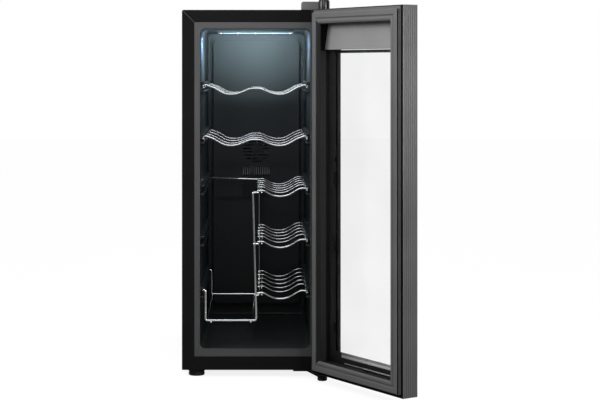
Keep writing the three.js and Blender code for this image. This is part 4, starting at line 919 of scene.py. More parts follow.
@dataclass(frozen=True)
class Cabinet(Assembly):
    """Steel case, plastic rim, liner, rear panel and feet."""

    sheet: float = 1.2
    flange: float = 21.0
    sill: float = 23.0
    corner_radius: float = 3.0
    mitre: float = 0.35
    back_return: float = 12.0
    fold_round: float = 0.55
    rim_bead: float = 1.8
    rim_proud: float = 0.6
    rim_tuck: float = 3.3
    mouth_inset: float = 10.0
    mouth_radius: float = 9.0
    mouth_steps: int = 10
    liner_wall: float = 2.0
    back_round: float = 4.0
    rib_round: float = 1.4
    rib_drop: float = 7.5
    rib_height: float = 4.0
    rib_gap: float = 10.6
    rib_reach: float = 7.0
    rib_span: tuple[float, float] = (8.0, 330.0)
    foot_flutes: int = 22
    flute_depth: float = 0.7

    def build(self) -> None:
        """Makes the cabinet's pieces."""
        self._shell()
        self.soften("bottom_pan", POWDER_COAT, 0.4)
        self.soften("rear_panel", SIDE_COAT, 0.3)
        self._rim()
        self._liner()
        for node in ("foot_front_left", "foot_rear_left", "foot_rear_right"):
            self._foot(node)
        self.dress(FOAM, "foam_insulation")
        self.dress(ZINC, "compartment_wall")

    def _shell(self) -> None:
        """Makes the folded shell: a sheet over sides and top, mitred front flanges and back returns, with
        highlights painted along the upper mitre seams.
        """
        span = self.span("cabinet_shell")
        half, low, top = span.high.x, span.low.z, span.high.z
        sheet, radius, gap = self.sheet, self.corner_radius, self.mitre
        arc = [(half - radius + radius * math.cos(angle), top - radius + radius * math.sin(angle))
               for angle in (math.radians(7.5 * step) for step in range(13))]
        inner = half - sheet
        outline = [(half, low), *arc, *((-x, z) for x, z in reversed(arc)), (-half, low), (-inner, low),
                   (-inner, top - sheet), (inner, top - sheet), (inner, low)]
        shell = Shape.prism([(x, sheet, z) for x, z in outline], (0.0, span.high.y - sheet, 0.0))
        fold_x, fold_z = half - self.flange, top - self.flange
        turn = arc[6]
        head = [(fold_x - gap, fold_z), (turn[0] - gap, turn[1]), *arc[7:]]
        head += [(-x, z) for x, z in reversed(head)]
        flanges = [head]
        front = Shape()
        for side in (1.0, -1.0):
            flanges.append([(side * x, z) for x, z in
                            [(half, low), *arc[:6], (turn[0], turn[1] - gap), (fold_x, fold_z - gap),
                             (fold_x, low + self.sill)]])
        for points in flanges:
            part = Shape.prism([(x, span.low.y, z) for x, z in points], (0.0, sheet, 0.0))
            part.rounded(self.fold_round, 3, 40.0, lambda point: point.y < span.low.y + 0.1 and (
                abs(point.x) > half - radius - 0.1 or point.z > top - radius - 0.1))
            front.join(part)
        back = self.span("rear_panel").low.y - 0.05
        reach = inner - self.back_return
        for start, end in (((-inner, low), (-reach, top - sheet)), ((reach, low), (inner, top - sheet)),
                           ((-reach, top - sheet - self.back_return), (reach, top - sheet))):
            shell.join(Shape.block((start[0], back - sheet, start[1]), (end[0], back, end[1])))
        self.fit(shell, "shell", SIDE_COAT, nodes=["cabinet_shell"], smooth=40.0)
        self.fit(front, "front_flanges", POWDER_COAT, smooth=40.0)
        # Light grey strips on the upper mitre seams are painted highlights.
        seam_highlights = Shape()
        for side in (1.0, -1.0):
            points = [(fold_x, fold_z - gap), (turn[0], turn[1] - gap), (turn[0] - gap, turn[1]),
                      (fold_x - gap, fold_z)]
            seam_highlights.join(Shape.prism([(side * x, span.low.y + 0.25, z) for x, z in points], (0.0, 0.6, 0.0)))
        self.fit(seam_highlights, "flange_seam_highlights", COVER_PAINTED_LIGHT)

    def _mouth(self) -> tuple[tuple[float, float], float]:
        """Half sizes of the mouth and the height of its middle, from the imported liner."""
        rim = self.span("mouth_rim")
        liner = self.span("inner_liner")
        half_x = liner.size.x / 2 - self.mouth_inset
        low, high = liner.low.z + self.mouth_inset, liner.high.z - self.mouth_inset
        LOG.info("mouth %.1f wide, %.1f to %.1f high, rim %.1f wide", 2 * half_x, low, high, rim.size.x)
        return (half_x, (high - low) / 2), (high + low) / 2

    def _slab(self, grow: float, front: float, back: float, round_by: float = 0.0) -> Shape:
        """Makes a slab of the mouth's outline.

        Args:
            grow: How much wider than the mouth it is on each side.
            front: Y of its front.
            back: Y of its back.
            round_by: How much rounder than the mouth's its corners are.

        Returns:
            The slab.
        """
        half, middle = self._mouth()
        return Shape.plate((-half[0] - grow, front, middle - half[1] - grow),
                           (half[0] + grow, back, middle + half[1] + grow), self.mouth_radius + round_by,
                           self.mouth_steps)

    def _rim(self) -> None:
        """Makes the rim: a plate round the mouth with a raised bead at its inner edge."""
        half, middle = self._mouth()
        rim = self.span("mouth_rim")
        outer = rim.size.x / 2 - self.rim_tuck
        low, high = rim.low.z + self.rim_tuck, rim.high.z - self.rim_tuck
        grow = self.rim_bead * 0.6
        plate = Shape.plate((-outer, self.rim_proud, low), (outer, rim.high.y, high))
        plate.carved(self._slab(grow, -5.0, 20.0, grow))
        plate.rounded(0.35, where=lambda point: point.y < 1.0)
        tongue_out = rim.size.x / 2
        tongue = Shape.plate((-tongue_out, 1.5, rim.low.z), (tongue_out, rim.high.y, rim.high.z))
        tongue.carved(Shape.plate((-outer + 0.5, -5.0, low + 0.5), (outer - 0.5, 20.0, high - 0.5)))
        bead = self.rim_bead
        section = [(0.0, rim.high.y), (0.0, 1.0), (0.12, 0.42), (0.42, 0.12), (0.8, 0.0), (1.25, 0.08),
                   (bead - 0.25, 0.32), (bead, 0.7), (bead, rim.high.y)]
        ring = Shape.hoop(section, half, middle, self.mouth_radius, 12)
        self.fit(plate.join(tongue, ring), "rim", RIM_SKIN, nodes=["mouth_rim"])

    def _liner(self) -> None:
        """Makes the tub with its rounded back, the shelf ribs and the airway behind the duct cover."""
        span = self.span("inner_liner")
        sink = self.span("cold_heat_sink")
        wall = self.liner_wall
        front, back = span.low.y, span.high.y - wall
        tub = self._slab(wall, front, back + wall, wall)
        hollow = self._slab(0.0, front - 5.0, back)
        hollow.rounded(self.back_round, 6, where=lambda point: point.y > back - 1.0)
        airway = Shape.block((sink.low.x, back - 10.0, sink.low.z), (sink.high.x, back + 20.0, sink.high.z))
        tub.carved(hollow).carved(airway)
        flange = Shape.plate((span.low.x, front, span.low.z), (span.high.x, front + wall, span.high.z))
        flange.carved(self._slab(0.5, front - 5.0, front + 9.0))
        self.fit(tub.join(flange, *self._ribs()), "liner", LINER_SKIN, nodes=["inner_liner"])

    def _ribs(self) -> list[Shape]:
        """Makes the pair of ribs that each shelf slides between, on both walls."""
        ribs = []
        wall = self._mouth()[0][0]
        start, end = self.rib_span
        for node in SHELF_NODES:
            floor = self.span(node).high.z - WaveShelf.crown - self.rib_drop
            for low in (floor - self.rib_height, floor + self.rib_gap):
                for side in (-1.0, 1.0):
                    tip = side * (wall - self.rib_reach)
                    edges = sorted((side * (wall + 1.0), tip))
                    rib = Shape.block((edges[0], start, low), (edges[1], end, low + self.rib_height))
                    ribs.append(rib.rounded(self.rib_round, 3, where=lambda point, tip=tip:
                                            abs(point.x - tip) < 4.5 or point.y < start + 1.0))
        return ribs

    def _foot(self, node: str) -> None:
        """Makes a fluted levelling foot."""
        span = self.span(node)
        radius, height = span.size.x / 2, span.size.z
        tier = height * 0.52
        foot = Shape.post(radius, [
            (radius, 0.0), (2.0, 0.0), (1.2, 0.3), (0.7, 1.1), (0.7, tier - 0.9), (1.1, tier - 0.3),
            (2.6, tier), (2.6, tier + 0.8), (0.6, tier + 1.2), (0.0, tier + 1.8), (0.0, height - 0.8),
            (0.4, height - 0.3), (1.2, height), (radius, height)], span.foot, 4 * self.foot_flutes)
        flute(foot, span.middle, radius - 1.4, height, self.foot_flutes, self.flute_depth)
        self.fit(foot, node + "_fluted", FOOT_RUBBER, nodes=[node], smooth=50.0)


def flute(shape: Shape, middle: Vector, radius: float, top: float, flutes: int, depth: float) -> None:
    """Presses flutes into the side of an upright turned piece.

    Args:
        shape: The turned piece.
        middle: A point on its axis.
        radius: Points nearer to the axis than this stay.
        top: Points above this height stay.
        flutes: Number of flutes.
        depth: How deep a flute is.
    """
    for vert in shape.bm.verts:
        arm = Vector((vert.co.x - middle.x, vert.co.y - middle.y))
        if arm.length > radius and 0.2 < vert.co.z < top:
            dip = 0.5 - 0.5 * math.cos(flutes * math.atan2(arm.y, arm.x))
            arm *= (arm.length - depth * dip) / arm.length
            vert.co.x, vert.co.y = middle.x + arm.x, middle.y + arm.y


# ---------------------------------------------------------------- cooling unit and rear fittings

@dataclass(frozen=True)
class CoolingUnit(Assembly):
    """Duct cover, fans, sinks and the thermoelectric module."""

    cover_round: float = 1.0
    cover_margin: float = 8.5
    grille_rings: int = 3
    ring_pitch: float = 11.0
    ring_half: float = 1.3
    ring_depth: float = 1.2
    rim_width: float = 6.0

    def build(self) -> None:
        """Makes the cooling unit's pieces."""
        cover = Shape.packed("duct_cover", self.datum.cabinet)
        span = self.span("duct_cover")
        cover.rounded(self.cover_round, 4, where=lambda point: point.y < span.low.y + 0.1 and min(
            point.x - span.low.x, span.high.x - point.x, point.z - span.low.z, span.high.z - point.z)
            < self.cover_margin)
        self.fit(cover, "duct_cover_moulded", COVER_SKIN, nodes=["duct_cover"])
        self.soften("cold_fan_frame", MATT_BLACK, 0.3)
        self.soften("hot_fan_frame", MATT_BLACK, 0.3)
        self.soften("cold_fan_rotor", SATIN_BLACK, 0.25, body="cold_fan")
        self.soften("hot_fan_rotor", SATIN_BLACK, 0.25, body="hot_fan")
        self.dress(ALUMINIUM, "cold_heat_sink", "hot_heat_sink", "cold_block")
        self.dress(CERAMIC, "peltier_module")
        self._grille()

    def _grille(self) -> None:
        """Makes the round grille behind the hot fan: round-edged rings on four spokes."""
        span = self.span("fan_grille")
        x, z = span.middle.x, span.middle.z
        back, lip = span.high.y, span.low.y
        outer = span.size.x / 2
        foot = (x, 0.0, z)
        front = back - self.ring_depth
        grille = Shape()
        for index in range(self.grille_rings):
            radius = self.ring_pitch * (index + 1)
            near, far = radius - self.ring_half, radius + self.ring_half
            profile = [(near, front), (far, front), (far, back), (near, back), (near, front)]
            grille.join(Shape.turned(profile, foot, Axis.BACK, 64).rounded(0.4, 2, 50.0))
        inner = outer - self.rim_width
        rim = [(inner, lip), (outer, lip), (outer, lip + 2.3), (outer - 3.3, lip + 2.3), (outer - 3.3, back),
               (inner, back), (inner, lip)]
        grille.join(Shape.turned(rim, foot, Axis.BACK, 96).rounded(0.35, 2, 50.0))
        for side in (1, -1):
            spoke = Shape.block((-inner - 1.0, -0.6, -1.3), (inner + 1.0, 0.6, 1.3)).rounded(0.3, 2)
            turn = Matrix.Rotation(math.radians(45.0 * side), 4, "Y")
            grille.join(spoke.moved(Matrix.Translation((x, back - 0.65, z)) @ turn))
        self.fit(grille, "fan_grille_moulded", MATT_BLACK, nodes=["fan_grille"])


@dataclass(frozen=True)
class Electrics(Assembly):
    """Light bar, sensor clip, power board and inlet."""

    diodes: int = 5
    diode_pitch: float = 31.0
    diode_radius: float = 2.1

    def build(self) -> None:
        """Makes the electric pieces."""
        # The housing's bluish grey is the diodes' glow, painted on.
        self.soften("light_housing", BAR_GLOW, 0.4, 3)
        self.soften("light_lens", LIT_LENS, 0.25)
        self.dress(CIRCUIT, "light_board", "power_board")
        self.soften("sensor_clip", SATIN_BLACK, 0.5, 3)
        self.soften("power_inlet", MATT_BLACK, 0.3)
        self._diodes()

    def _diodes(self) -> None:
        """Makes the domed tips of the diodes, which show through the lens."""
        lens = self.span("light_lens")
        tips = Shape()
        for index in range(self.diodes):
            x = (index - (self.diodes - 1) / 2) * self.diode_pitch
            profile = [(0.0, 0.0), (self.diode_radius, 0.0), (self.diode_radius, 0.5),
                       (self.diode_radius * 0.8, 0.9), (self.diode_radius * 0.4, 1.15), (0.0, 1.2)]
            tips.join(Shape.turned(profile, (x, lens.middle.y, lens.low.z + 0.9), Axis.DOWN, 20))
        self.fit(tips, "light_diodes", LIT_DIODE)


# ---------------------------------------------------------------- shelves and rack

SHELF_NODES = ("full_shelf_upper", "full_shelf_lower", "half_shelf_upper", "half_shelf_middle",
               "half_shelf_lower")


@dataclass(frozen=True)
class WaveShelf(Assembly):
    """Chromed shelf of waved cross wires on two side rails."""

    node: str
    full: bool
    crown: float = 2.6
    front_radius: float = 1.8
    cross_radius: float = 1.15
    rail_radius: float = 1.5
    rail_drop: float = 2.7
    reach: float = 91.0
    half_start: float = 3.6
    half_inset: float = 7.6
    half_fall: float = 4.2
    full_places: tuple[float, ...] = (15.0, 108.0, 203.0, 298.0)
    half_places: tuple[float, ...] = (15.0, 102.0, 154.0, 206.0, 258.0, 310.0)
    rail_ends: tuple[float, float] = (13.0, 312.0)
    full_wave: Section = ((0.0, 4.4), (9.0, 5.0), (20.0, 9.2), (31.0, 13.2), (42.5, 14.5), (54.0, 12.6),
                          (64.0, 7.6), (72.0, 3.0), (79.0, 0.4), (86.0, -1.6), (91.0, 0.2))
    half_wave: Section = ((14.8, 4.2), (23.0, 8.4), (31.5, 12.2), (43.3, 14.0), (55.0, 12.2), (65.0, 7.4),
                          (74.3, 2.0), (79.5, 0.3), (91.0, 0.2))

    def _wave(self) -> list[tuple[float, float]]:
        """Points of the wave as (X, drop below the shelf's level)."""
        if self.full:
            return [*((-x, drop) for x, drop in reversed(self.full_wave[1:])), *self.full_wave]
        return [(self.half_start, self.half_fall), *self.half_wave]

    def build(self) -> None:
        """Makes the shelf."""
        level = self.span(self.node).high.z - self.crown
        wires, beads = [], []
        rails = [(self.reach - self.rail_radius, level - self.rail_drop)]
        if self.full:
            rails.insert(0, (-self.reach + self.rail_radius, level - self.rail_drop))
        else:
            rails.insert(0, (self.half_start + self.half_inset, level - self.half_fall - self.rail_drop))
        for index, y in enumerate(self.full_places if self.full else self.half_places):
            radius = self.cross_radius if index else self.front_radius
            lift = radius - self.cross_radius
            points = tuple((x, y, level - drop + lift) for x, drop in self._wave())
            wires.append(Wire(points, radius, wave=True))
            for x, z in rails:
                beads.append(weld_bead((x, y, z + self.rail_radius * 0.8), (1.5, 1.9, 0.9)))
        start, end = self.rail_ends
        wires += [Wire(((x, start, z), (x, (start + end) / 2, z), (x, end, z)), self.rail_radius)
                  for x, z in rails]
        shelf = drawn_wires(wires).join(*beads)
        self.fit(shelf, self.node + "_wires", CHROME, [self.node], smooth=45.0, even=False, body=self.node)


@dataclass(frozen=True)
class BottleRack(Assembly):
    """Chromed rack that keeps standing bottles upright and carries the half shelves' left ends."""

    wire: float = 2.15
    tie: float = 1.7
    front: float = 5.4
    back: float = 322.0
    reach: float = 91.0
    left: float = 85.5
    hook_rise: float = 6.0
    base: float = 96.5
    foot: float = 2.0
    lean: float = 6.0
    rail: float = 6.0
    bend: float = 7.0
    levels: tuple[float, float, float] = (323.0, 234.5, 146.0)
    rib_rest: float = 3.2
    seat: float = 2.0
    shelf_rail: float = 1.6
    play: float = 0.3

    def build(self) -> None:
        """Makes the rack."""
        base = self.base
        rest = self.levels[-1] - self.rib_rest - self.seat + self.wire
        hook = rest + self.hook_rise
        rails = [height - self.seat - self.shelf_rail - self.play - self.wire for height in self.levels]
        top = rails[0]

        def leg(z: float) -> float:
            """X of the leaning leg at a height."""
            return self.foot - self.lean * (z - base) / (top - base)

        line = Wire.bent([
            (-self.reach, self.front, hook), (-self.left, self.front, hook), (-self.left, self.front, base),
            (self.foot, self.front, base), (leg(top), self.front, top), (self.rail, self.front, top),
            (self.rail, self.back, top),
            (-self.reach, self.back, self.levels[0] - self.rib_rest)], self.bend / 2)
        hoop_y = self.back - 2 * self.wire
        hoop = Wire.bent([
            (-self.reach, hoop_y, rest), (-self.left, hoop_y, rest), (-self.left, hoop_y, base),
            (self.rail, hoop_y, base), (self.rail, hoop_y, top)], self.bend / 2)
        wires = [Wire(line, self.wire), Wire(hoop, self.wire)]
        tie_z = base - self.wire - self.tie * 0.6
        beads = []
        for x, tip in ((-self.left + 1.5, 8.0), (self.foot - 6.0, -4.0)):
            wires.append(Wire(Wire.bent([(x + tip, self.front - 2, tie_z), (x, self.front + 36, tie_z),
                                         (x, hoop_y + 2, tie_z)], 8.0), self.tie))
            beads += [weld_bead((x + tip, self.front, base - self.wire * 0.8), (2.0, 1.8, 1.3)),
                      weld_bead((x, hoop_y, base - self.wire * 0.8), (1.8, 2.0, 1.3))]
        for z in rails[1:]:
            wires.append(Wire(Wire.bent([(leg(z), self.front, z), (self.rail, self.front, z),
                                         (self.rail, hoop_y, z)], 3.0), self.wire))
            beads += [weld_bead((leg(z), self.front, z), (2.9, 2.7, 2.4)),
                      weld_bead((self.rail, hoop_y, z), (2.6, 2.6, 2.6))]
        self.fit(drawn_wires(wires).join(*beads), "bottle_rack_wires", CHROME, nodes=["bottle_rack"],
                 smooth=45.0, even=False)


# ---------------------------------------------------------------- hinges and screws

@dataclass(frozen=True)
class ScrewHead(Assembly):
    """Pan-head screw with a cross recess."""

    node: str
    axis: Axis
    finish: Finish = ZINC
    length: float = 11.0
    head: float = 2.0
    recess: float = 3.6
    blade: float = 0.95
    depth: float = 1.3

    def build(self) -> None:
        """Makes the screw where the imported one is."""
        span = self.span(self.node)
        radius = max(span.size.x, span.size.z if self.axis is Axis.BACK else span.size.y) / 2
        tip, head = -self.length, self.head
        profile = [(0.0, tip), (1.0, tip + 0.4), (2.0, tip + 2.2), (2.0, 0.0), (radius - 0.15, 0.0),
                   (radius, 0.3), (radius - 0.15, 0.9), (radius - 0.75, 1.5), (radius - 1.9, 1.88),
                   (0.0, head)]
        screw = Shape.turned(profile, (0, 0, 0), steps=24)
        for x, y in ((self.recess / 2, self.blade / 2), (self.blade / 2, self.recess / 2)):
            screw.carved(Shape.block((-x, -y, head - self.depth), (x, y, head + 1.0)))
        face = {Axis.UP: Vector((span.middle.x, span.middle.y, span.high.z - head)),
                Axis.DOWN: Vector((span.middle.x, span.middle.y, span.low.z + head)),
                Axis.BACK: Vector((span.middle.x, span.high.y - head, span.middle.z))}[self.axis]
        screw.moved(Matrix.Translation(face) @ self.axis.turn())
        self.fit(screw, self.node + "_turned", self.finish, nodes=[self.node])


@dataclass(frozen=True)
class Hinges(Assembly):
    """Upper hinge under its cover and cap, lower bracket, pins and the hinge foot."""

    barrel: float = 9.8
    cover_round: float = 3.2
    cover_edge: float = 1.2
    dome: float = 4.0
    foot_flutes: int = 12
    stud: float = 1.5
    stud_radius: float = 3.0

    def build(self) -> None:
        """Makes the hinges' pieces."""
        self._cover()
        self._cap()
        self.soften("bottom_hinge_bracket", POWDER_COAT, 0.35)
        self.soften("top_hinge_plate", ZINC, 0.25)
        self.soften("top_hinge_pin", ZINC, 0.25)
        self.soften("bottom_hinge_pin", DARK_ZINC, 0.25)
        self._foot()
        for index in (1, 2, 3):
            ScrewHead(self.datum, f"top_hinge_screw_{index}", Axis.UP).build()
        for index in (1, 2):
            ScrewHead(self.datum, f"bottom_hinge_screw_{index}", Axis.DOWN, DARK_ZINC).build()
        for index in (1, 2, 3, 4):
            ScrewHead(self.datum, f"rear_panel_screw_{index}", Axis.BACK, DARK_ZINC).build()

    def _cover(self) -> None:
        """Makes the round-edged block over the plate and the polished barrel round the axis."""
        span = self.span("top_hinge_cover")
        x, y = self.datum.hinge.x, self.datum.hinge.y
        low, high = span.low.z, span.high.z
        block = Shape.block((span.low.x, -2.0, low), (x + self.barrel - 1.0, span.high.y, high))
        left, top = span.low.x + 0.1, high - 0.1
        block.rounded(self.cover_round, 6, where=lambda point: point.x < left and point.z > top)
        block.rounded(self.cover_edge, 4, sharp=50.0, where=lambda point: point.z > top or point.x < left)
        arm = Shape.block((x - self.barrel + 1.2, y, low), (x + self.barrel - 1.2, 6.0, high - 0.8))
        arm.rounded(0.8, 3, where=lambda point: point.z > high - 0.9)
        # The cover's light grey is painted light on its lit faces.
        self.fit(block.join(arm), "hinge_cover", COVER_PAINTED_LIGHT, nodes=["top_hinge_cover"])
        height = high - low
        barrel = Shape.post(self.barrel, [
            (3.0, 0.0), (0.3, 0.0), (0.0, 0.3), (0.0, 1.6), (0.45, 1.9), (0.45, 2.4), (0.0, 2.7),
            (0.0, height - 0.9), (0.3, height - 0.3), (1.0, height), (self.barrel, height)], (x, y, low), 48)
        self.fit(barrel, "hinge_barrel", POLISHED_BLACK)

    def _cap(self) -> None:
        """Makes the domed cap on the barrel."""
        span = self.span("top_hinge_cap")
        radius = span.size.x / 2
        profile = [(0.0, 0.0), (radius - 0.2, 0.0), (radius, 0.25), (radius, 1.0)]
        profile += [(radius * math.cos(angle), 1.0 + (self.dome - 1.0) * math.sin(angle))
                    for angle in (math.radians(9.0 * step) for step in range(1, 10))]
        profile.append((0.0, self.dome))
        self.fit(Shape.turned(profile, span.foot, steps=48), "hinge_cap_domed",
                   POLISHED_BLACK, nodes=["top_hinge_cap"])

    def _foot(self) -> None:
        """Makes the small fluted foot under the lower bracket."""
        span = self.span("hinge_foot")
        radius = span.size.x / 2
        top, neck = span.size.z - self.stud, radius - self.stud_radius
        foot = Shape.post(radius, [
            (radius, 0.0), (1.6, 0.0), (0.5, 0.4), (0.0, 1.2), (0.0, top - 2.6), (0.5, top - 2.2),
            (0.5, top - 1.6), (0.1, top - 1.2), (0.5, top - 0.4), (1.4, top), (neck, top),
            (neck, span.size.z), (radius, span.size.z)],
            span.foot, 6 * self.foot_flutes)
        flute(foot, span.middle, radius - 0.8, top - 2.4, self.foot_flutes, 1.0)
        self.fit(foot, "hinge_foot_fluted", FOOT_RUBBER, nodes=["hinge_foot"], smooth=50.0)


# ---------------------------------------------------------------- door

def at_level(y: float, *points: tuple[float, float]) -> list[tuple[float, float]]:
    """Section points as (outward, y) from points whose Y is counted from a level."""
    return [(out, y + step) for out, step in points]


@dataclass(frozen=True)
class Door(Assembly):
    """Framed double-glazed door with its gasket and control housing; drawn shut, in door space."""

    body: ClassVar[str] = DOOR_BODY
    rail: float = 21.0
    lip: float = 1.5
    outer_lip: float = 0.3
    glass_gap: float = 0.3
    joint: float = 0.05
    film: float = 0.05
    border_margin: float = 0.8
    gasket_width: float = 21.0
    lining_step: float = 10.6
    housing_lift: float = 0.8
    ridges: int = 7
    ridge_depth: float = 1.2
    ridge: Section = ((0.0, 0.95), (0.35, 0.75), (0.85, 0.4), (1.0, 0.0), (0.85, -0.4), (0.35, -0.75),
                      (0.0, -0.95))
    seam: float = 0.12
    edge: float = 0.95
    groove: float = 5.6
    outer_border: tuple[float, float] = (28.9, 18.0)
    window_half: float = 84.4
    window_span: tuple[float, float] = (54.8, 556.0)
    foot_strip: float = 8.8
    foot_split: float = 4.6
    foot_end: float = 16.0
    foot_line: float = 36.4
    line_split: float = 8.0
    line_end: float = 32.0
    line_width: float = 1.8
    spacer_strip: tuple[float, float] = (92.3, 103.8)
    border_strip: tuple[float, float] = (76.3, 85.3)
    bar_inset: float = 96.0
    housing_faces: tuple[float, float] = (-19.0, -26.2)

    def build(self) -> None:
        """Makes the door's pieces."""
        outline = self.span("door_frame")
        opening = (outline.size.x / 2 - self.rail, outline.size.z / 2 - self.rail)
        middle = outline.middle.z
        glass_back = self.span("outer_glass").high.y + self.glass_gap
        self._frame(outline, opening, glass_back)
        self._lining(outline, opening, glass_back)
        self._gasket(middle)
        self._panes(opening, middle)
        self._housing()
        self.dress(CIRCUIT, "control_board")
        for node in ("door_bush_top", "door_bush_bottom"):
            self.soften(node, MATT_BLACK, 0.2)

    def _housing(self) -> None:
        """Makes the control housing, a wedge whose face leans back towards its top."""
        span = self.span("control_housing")
        low, high, front = span.low.z + self.housing_lift, span.high.z, span.low.y
        points = [(front, low), (self.housing_faces[0], low), (self.housing_faces[1], high), (front, high)]
        wedge = Shape.prism([(-span.high.x, y, z) for y, z in points], (2 * span.high.x, 0.0, 0.0))
        self.fit(wedge.rounded(0.8, 4), "control_wedge", GREY_SKIN, ["control_housing"])

    def _ring(self, section: Section, opening: tuple[float, float], middle: float, name: str,
              finish: Surface) -> None:
        """Makes a mitred ring round an opening and hangs it on the door."""
        self.fit(Shape.mitred(section, opening, middle, self.joint), name, finish)

    def _frame(self, span: Span, opening: tuple[float, float], glass_back: float) -> None:
        """Makes the four mitred rails, with rounded ridges along their outer faces."""
        front, back = span.low.y, span.high.y
        rail, edge, lip = self.rail, self.edge, self.outer_lip
        step = rail - lip - self.groove
        section = [(0.0, back), (0.35, back), (step - 0.2, back), (step, back - 0.2), (step, back - 2.6),
                   (rail - lip, back - 2.6), (rail - lip, back - 0.6), (rail - lip * 0.6, back - 0.5),
                   (rail - lip * 0.2, back - 0.7), (rail, back - 1.2)]
        pitch = (span.size.y - 4.0) / self.ridges
        for index in range(self.ridges):
            y = back - 2.0 - (index + 0.5) * pitch
            section += [(rail - self.ridge_depth * share, y + offset) for share, offset in self.ridge]
        section += [(rail, front + edge), (rail - edge * 0.3, front + edge * 0.3), (rail - edge, front),
                    (rail - self.lip, front), (rail - self.lip, glass_back), (0.0, glass_back)]
        rails = Shape.mitred(section, opening, span.middle.z, self.seam)
        # The rails' grey is painted light for their lit end faces.
        self.fit(rails, "door_rails", TRIM_PAINTED_LIGHT, ["door_frame"], smooth=28.0)

    def _lining(self, span: Span, opening: tuple[float, float], glass_back: float) -> None:
        """Makes the lining of the opening, black as painted shade on the jamb, the strips of painted light
        and shade on its hinge-side wall, and the black painted shade in the groove round the frame.
        """
        back, middle = span.high.y, span.middle.z
        # The lining's near-black is painted shade in the jamb.
        section = [*at_level(glass_back, (-0.5, 0.1)),
                   *at_level(back, (-0.5, -0.35), (-0.35, -0.15), (0.0, -0.1), (0.05, -0.1)),
                   *at_level(glass_back, (0.05, 0.1))]
        self._ring(section, opening, middle, "opening_lining", JAMB_SHADE)
        # On the hinge-side wall a lighter strip is painted light, and black strips at its foot and head are
        # painted shade.
        step, head = glass_back + self.lining_step, self.window_span[1] + 4.0
        low, high = middle - opening[1] + 0.6, middle + opening[1] - 0.6
        for name, finish, near, far, start, end in (
                ("hinge_side_lit_strip", HINGE_SIDE_LIGHT, step, back - 0.4, low, head),
                ("hinge_side_foot_shade", DEEP_SHADE, glass_back + 0.6, step, low, high),
                ("hinge_side_head_shade", DEEP_SHADE, step, back - 0.4, head, high)):
            wall = Shape.block((opening[0] - 0.75, near, start), (opening[0] - 0.55, far, end))
            self.fit(wall, name, finish)
        # A near-black strip filling the groove round the frame is painted shade.
        low, high = self.rail - self.outer_lip - self.groove, self.rail - self.outer_lip
        section = at_level(back, (low - 0.05, -2.7), (high + 0.05, -2.7), (high + 0.05, -0.9),
                           (high - 0.3, -0.7), (low + 0.2, -0.3), (low - 0.05, -0.4))
        self._ring(section, opening, middle, "edge_groove_shade", DEEP_SHADE)
        # The head strip takes the rails' grey, which is painted light.
        reach = opening[0] + low - 0.4
        head = Shape.block((-reach, back - 2.0, middle + opening[1] + low - 0.3),
                           (reach, back - 0.15, middle + opening[1] + high - 1.2))
        self.fit(head.rounded(0.3, 2), "head_strip", TRIM_PAINTED_LIGHT)

    def _window_foot(self, inner: Span) -> None:
        """Makes the silvered strip along the window's foot as a lit lower and a darker upper copy, a painted
        highlight line that is grey at one end, and the spacer's grey sides.
        """
        back = inner.low.y - 0.04
        foot = self.window_span[0]
        split, end = foot - self.foot_split, self.window_half - self.foot_end
        # The window's foot is a lit lower and a darker upper copy of one silvered strip: painted light and
        # shade.
        for name, finish, low, high in (("window_foot_lower", SILVERED, foot - self.foot_strip, split),
                                        ("window_foot_upper_shaded", SHADED_SILVER, split, foot + 0.1)):
            strip = Shape.plate((-self.window_half, back - 0.02, low), (end, back, high))
            self.fit(strip, name, finish)
        # A thin painted highlight of the glass edge, grey at one end and bright at the other.
        near = self.spacer_strip[0]
        for name, finish, start, end in (("window_highlight_near", GREY_SKIN, -near, self.line_split),
                                         ("window_highlight_far", EDGE_HIGHLIGHT, self.line_split,
                                          near - self.line_end)):
            line = Shape.plate((start, back - 0.02, self.foot_line),
                               (end, back, self.foot_line + self.line_width))
            self.fit(line, name, finish)
        glass = self.span("outer_glass").high.y + 0.15
        sides = Shape()
        for (start, end), y in ((self.spacer_strip, back), (self.border_strip, glass)):
            for side in (-1.0, 1.0):
                ends = sorted((side * start, side * end))
                sides.join(Shape.plate((ends[0], y - 0.02, foot), (ends[1], y, inner.high.z - 2.0)))
        self.fit(sides, "spacer_sides", SPACER_GREY)

    def _gasket(self, middle: float) -> None:
        """Makes the gasket: a soft inner bead, a fold and the flat magnet pocket, welded in the corners, with
        a darker rubber over the inner slope and a black strip in the undercut as painted shade.
        """
        span = self.span("door_gasket")
        width = self.gasket_width
        opening = (span.size.x / 2 - width, span.size.z / 2 - width)
        back, face = span.low.y, span.high.y
        inner_edge = at_level(back, (0.9, 0.0), (0.2, 0.4), (0.0, 1.0), (0.7, 2.2))
        bead = at_level(face, (2.4, -1.7), (3.4, -0.85), (4.3, -0.45), (5.4, -0.35), (6.8, -0.5), (8.1, -0.8),
                        (8.9, -1.2))
        valley = at_level(face, (9.4, -1.9), (9.8, -2.1), (10.2, -1.9), (10.6, -1.1), (10.95, -0.55))
        pocket = at_level(face, (11.5, -0.2), (12.3, 0.0), (15.8, -0.12), (width - 2.3, 0.0),
                          (width - 1.6, -0.25), (width - 1.2, -0.9), (width - 1.4, -1.2), (width - 5.0, -1.5))
        outer_edge = at_level(back, (width - 5.4, 1.5), (width - 0.6, 1.3), (width - 0.2, 1.0),
                              (width - 0.2, 0.4), (width - 0.9, 0.0))
        section = [*inner_edge, *bead, *valley, *pocket, *outer_edge]
        gasket = Shape.mitred(section, opening, middle, self.joint)
        self.fit(gasket, "gasket", SEAL_RUBBER, ["door_gasket"], smooth=50.0)
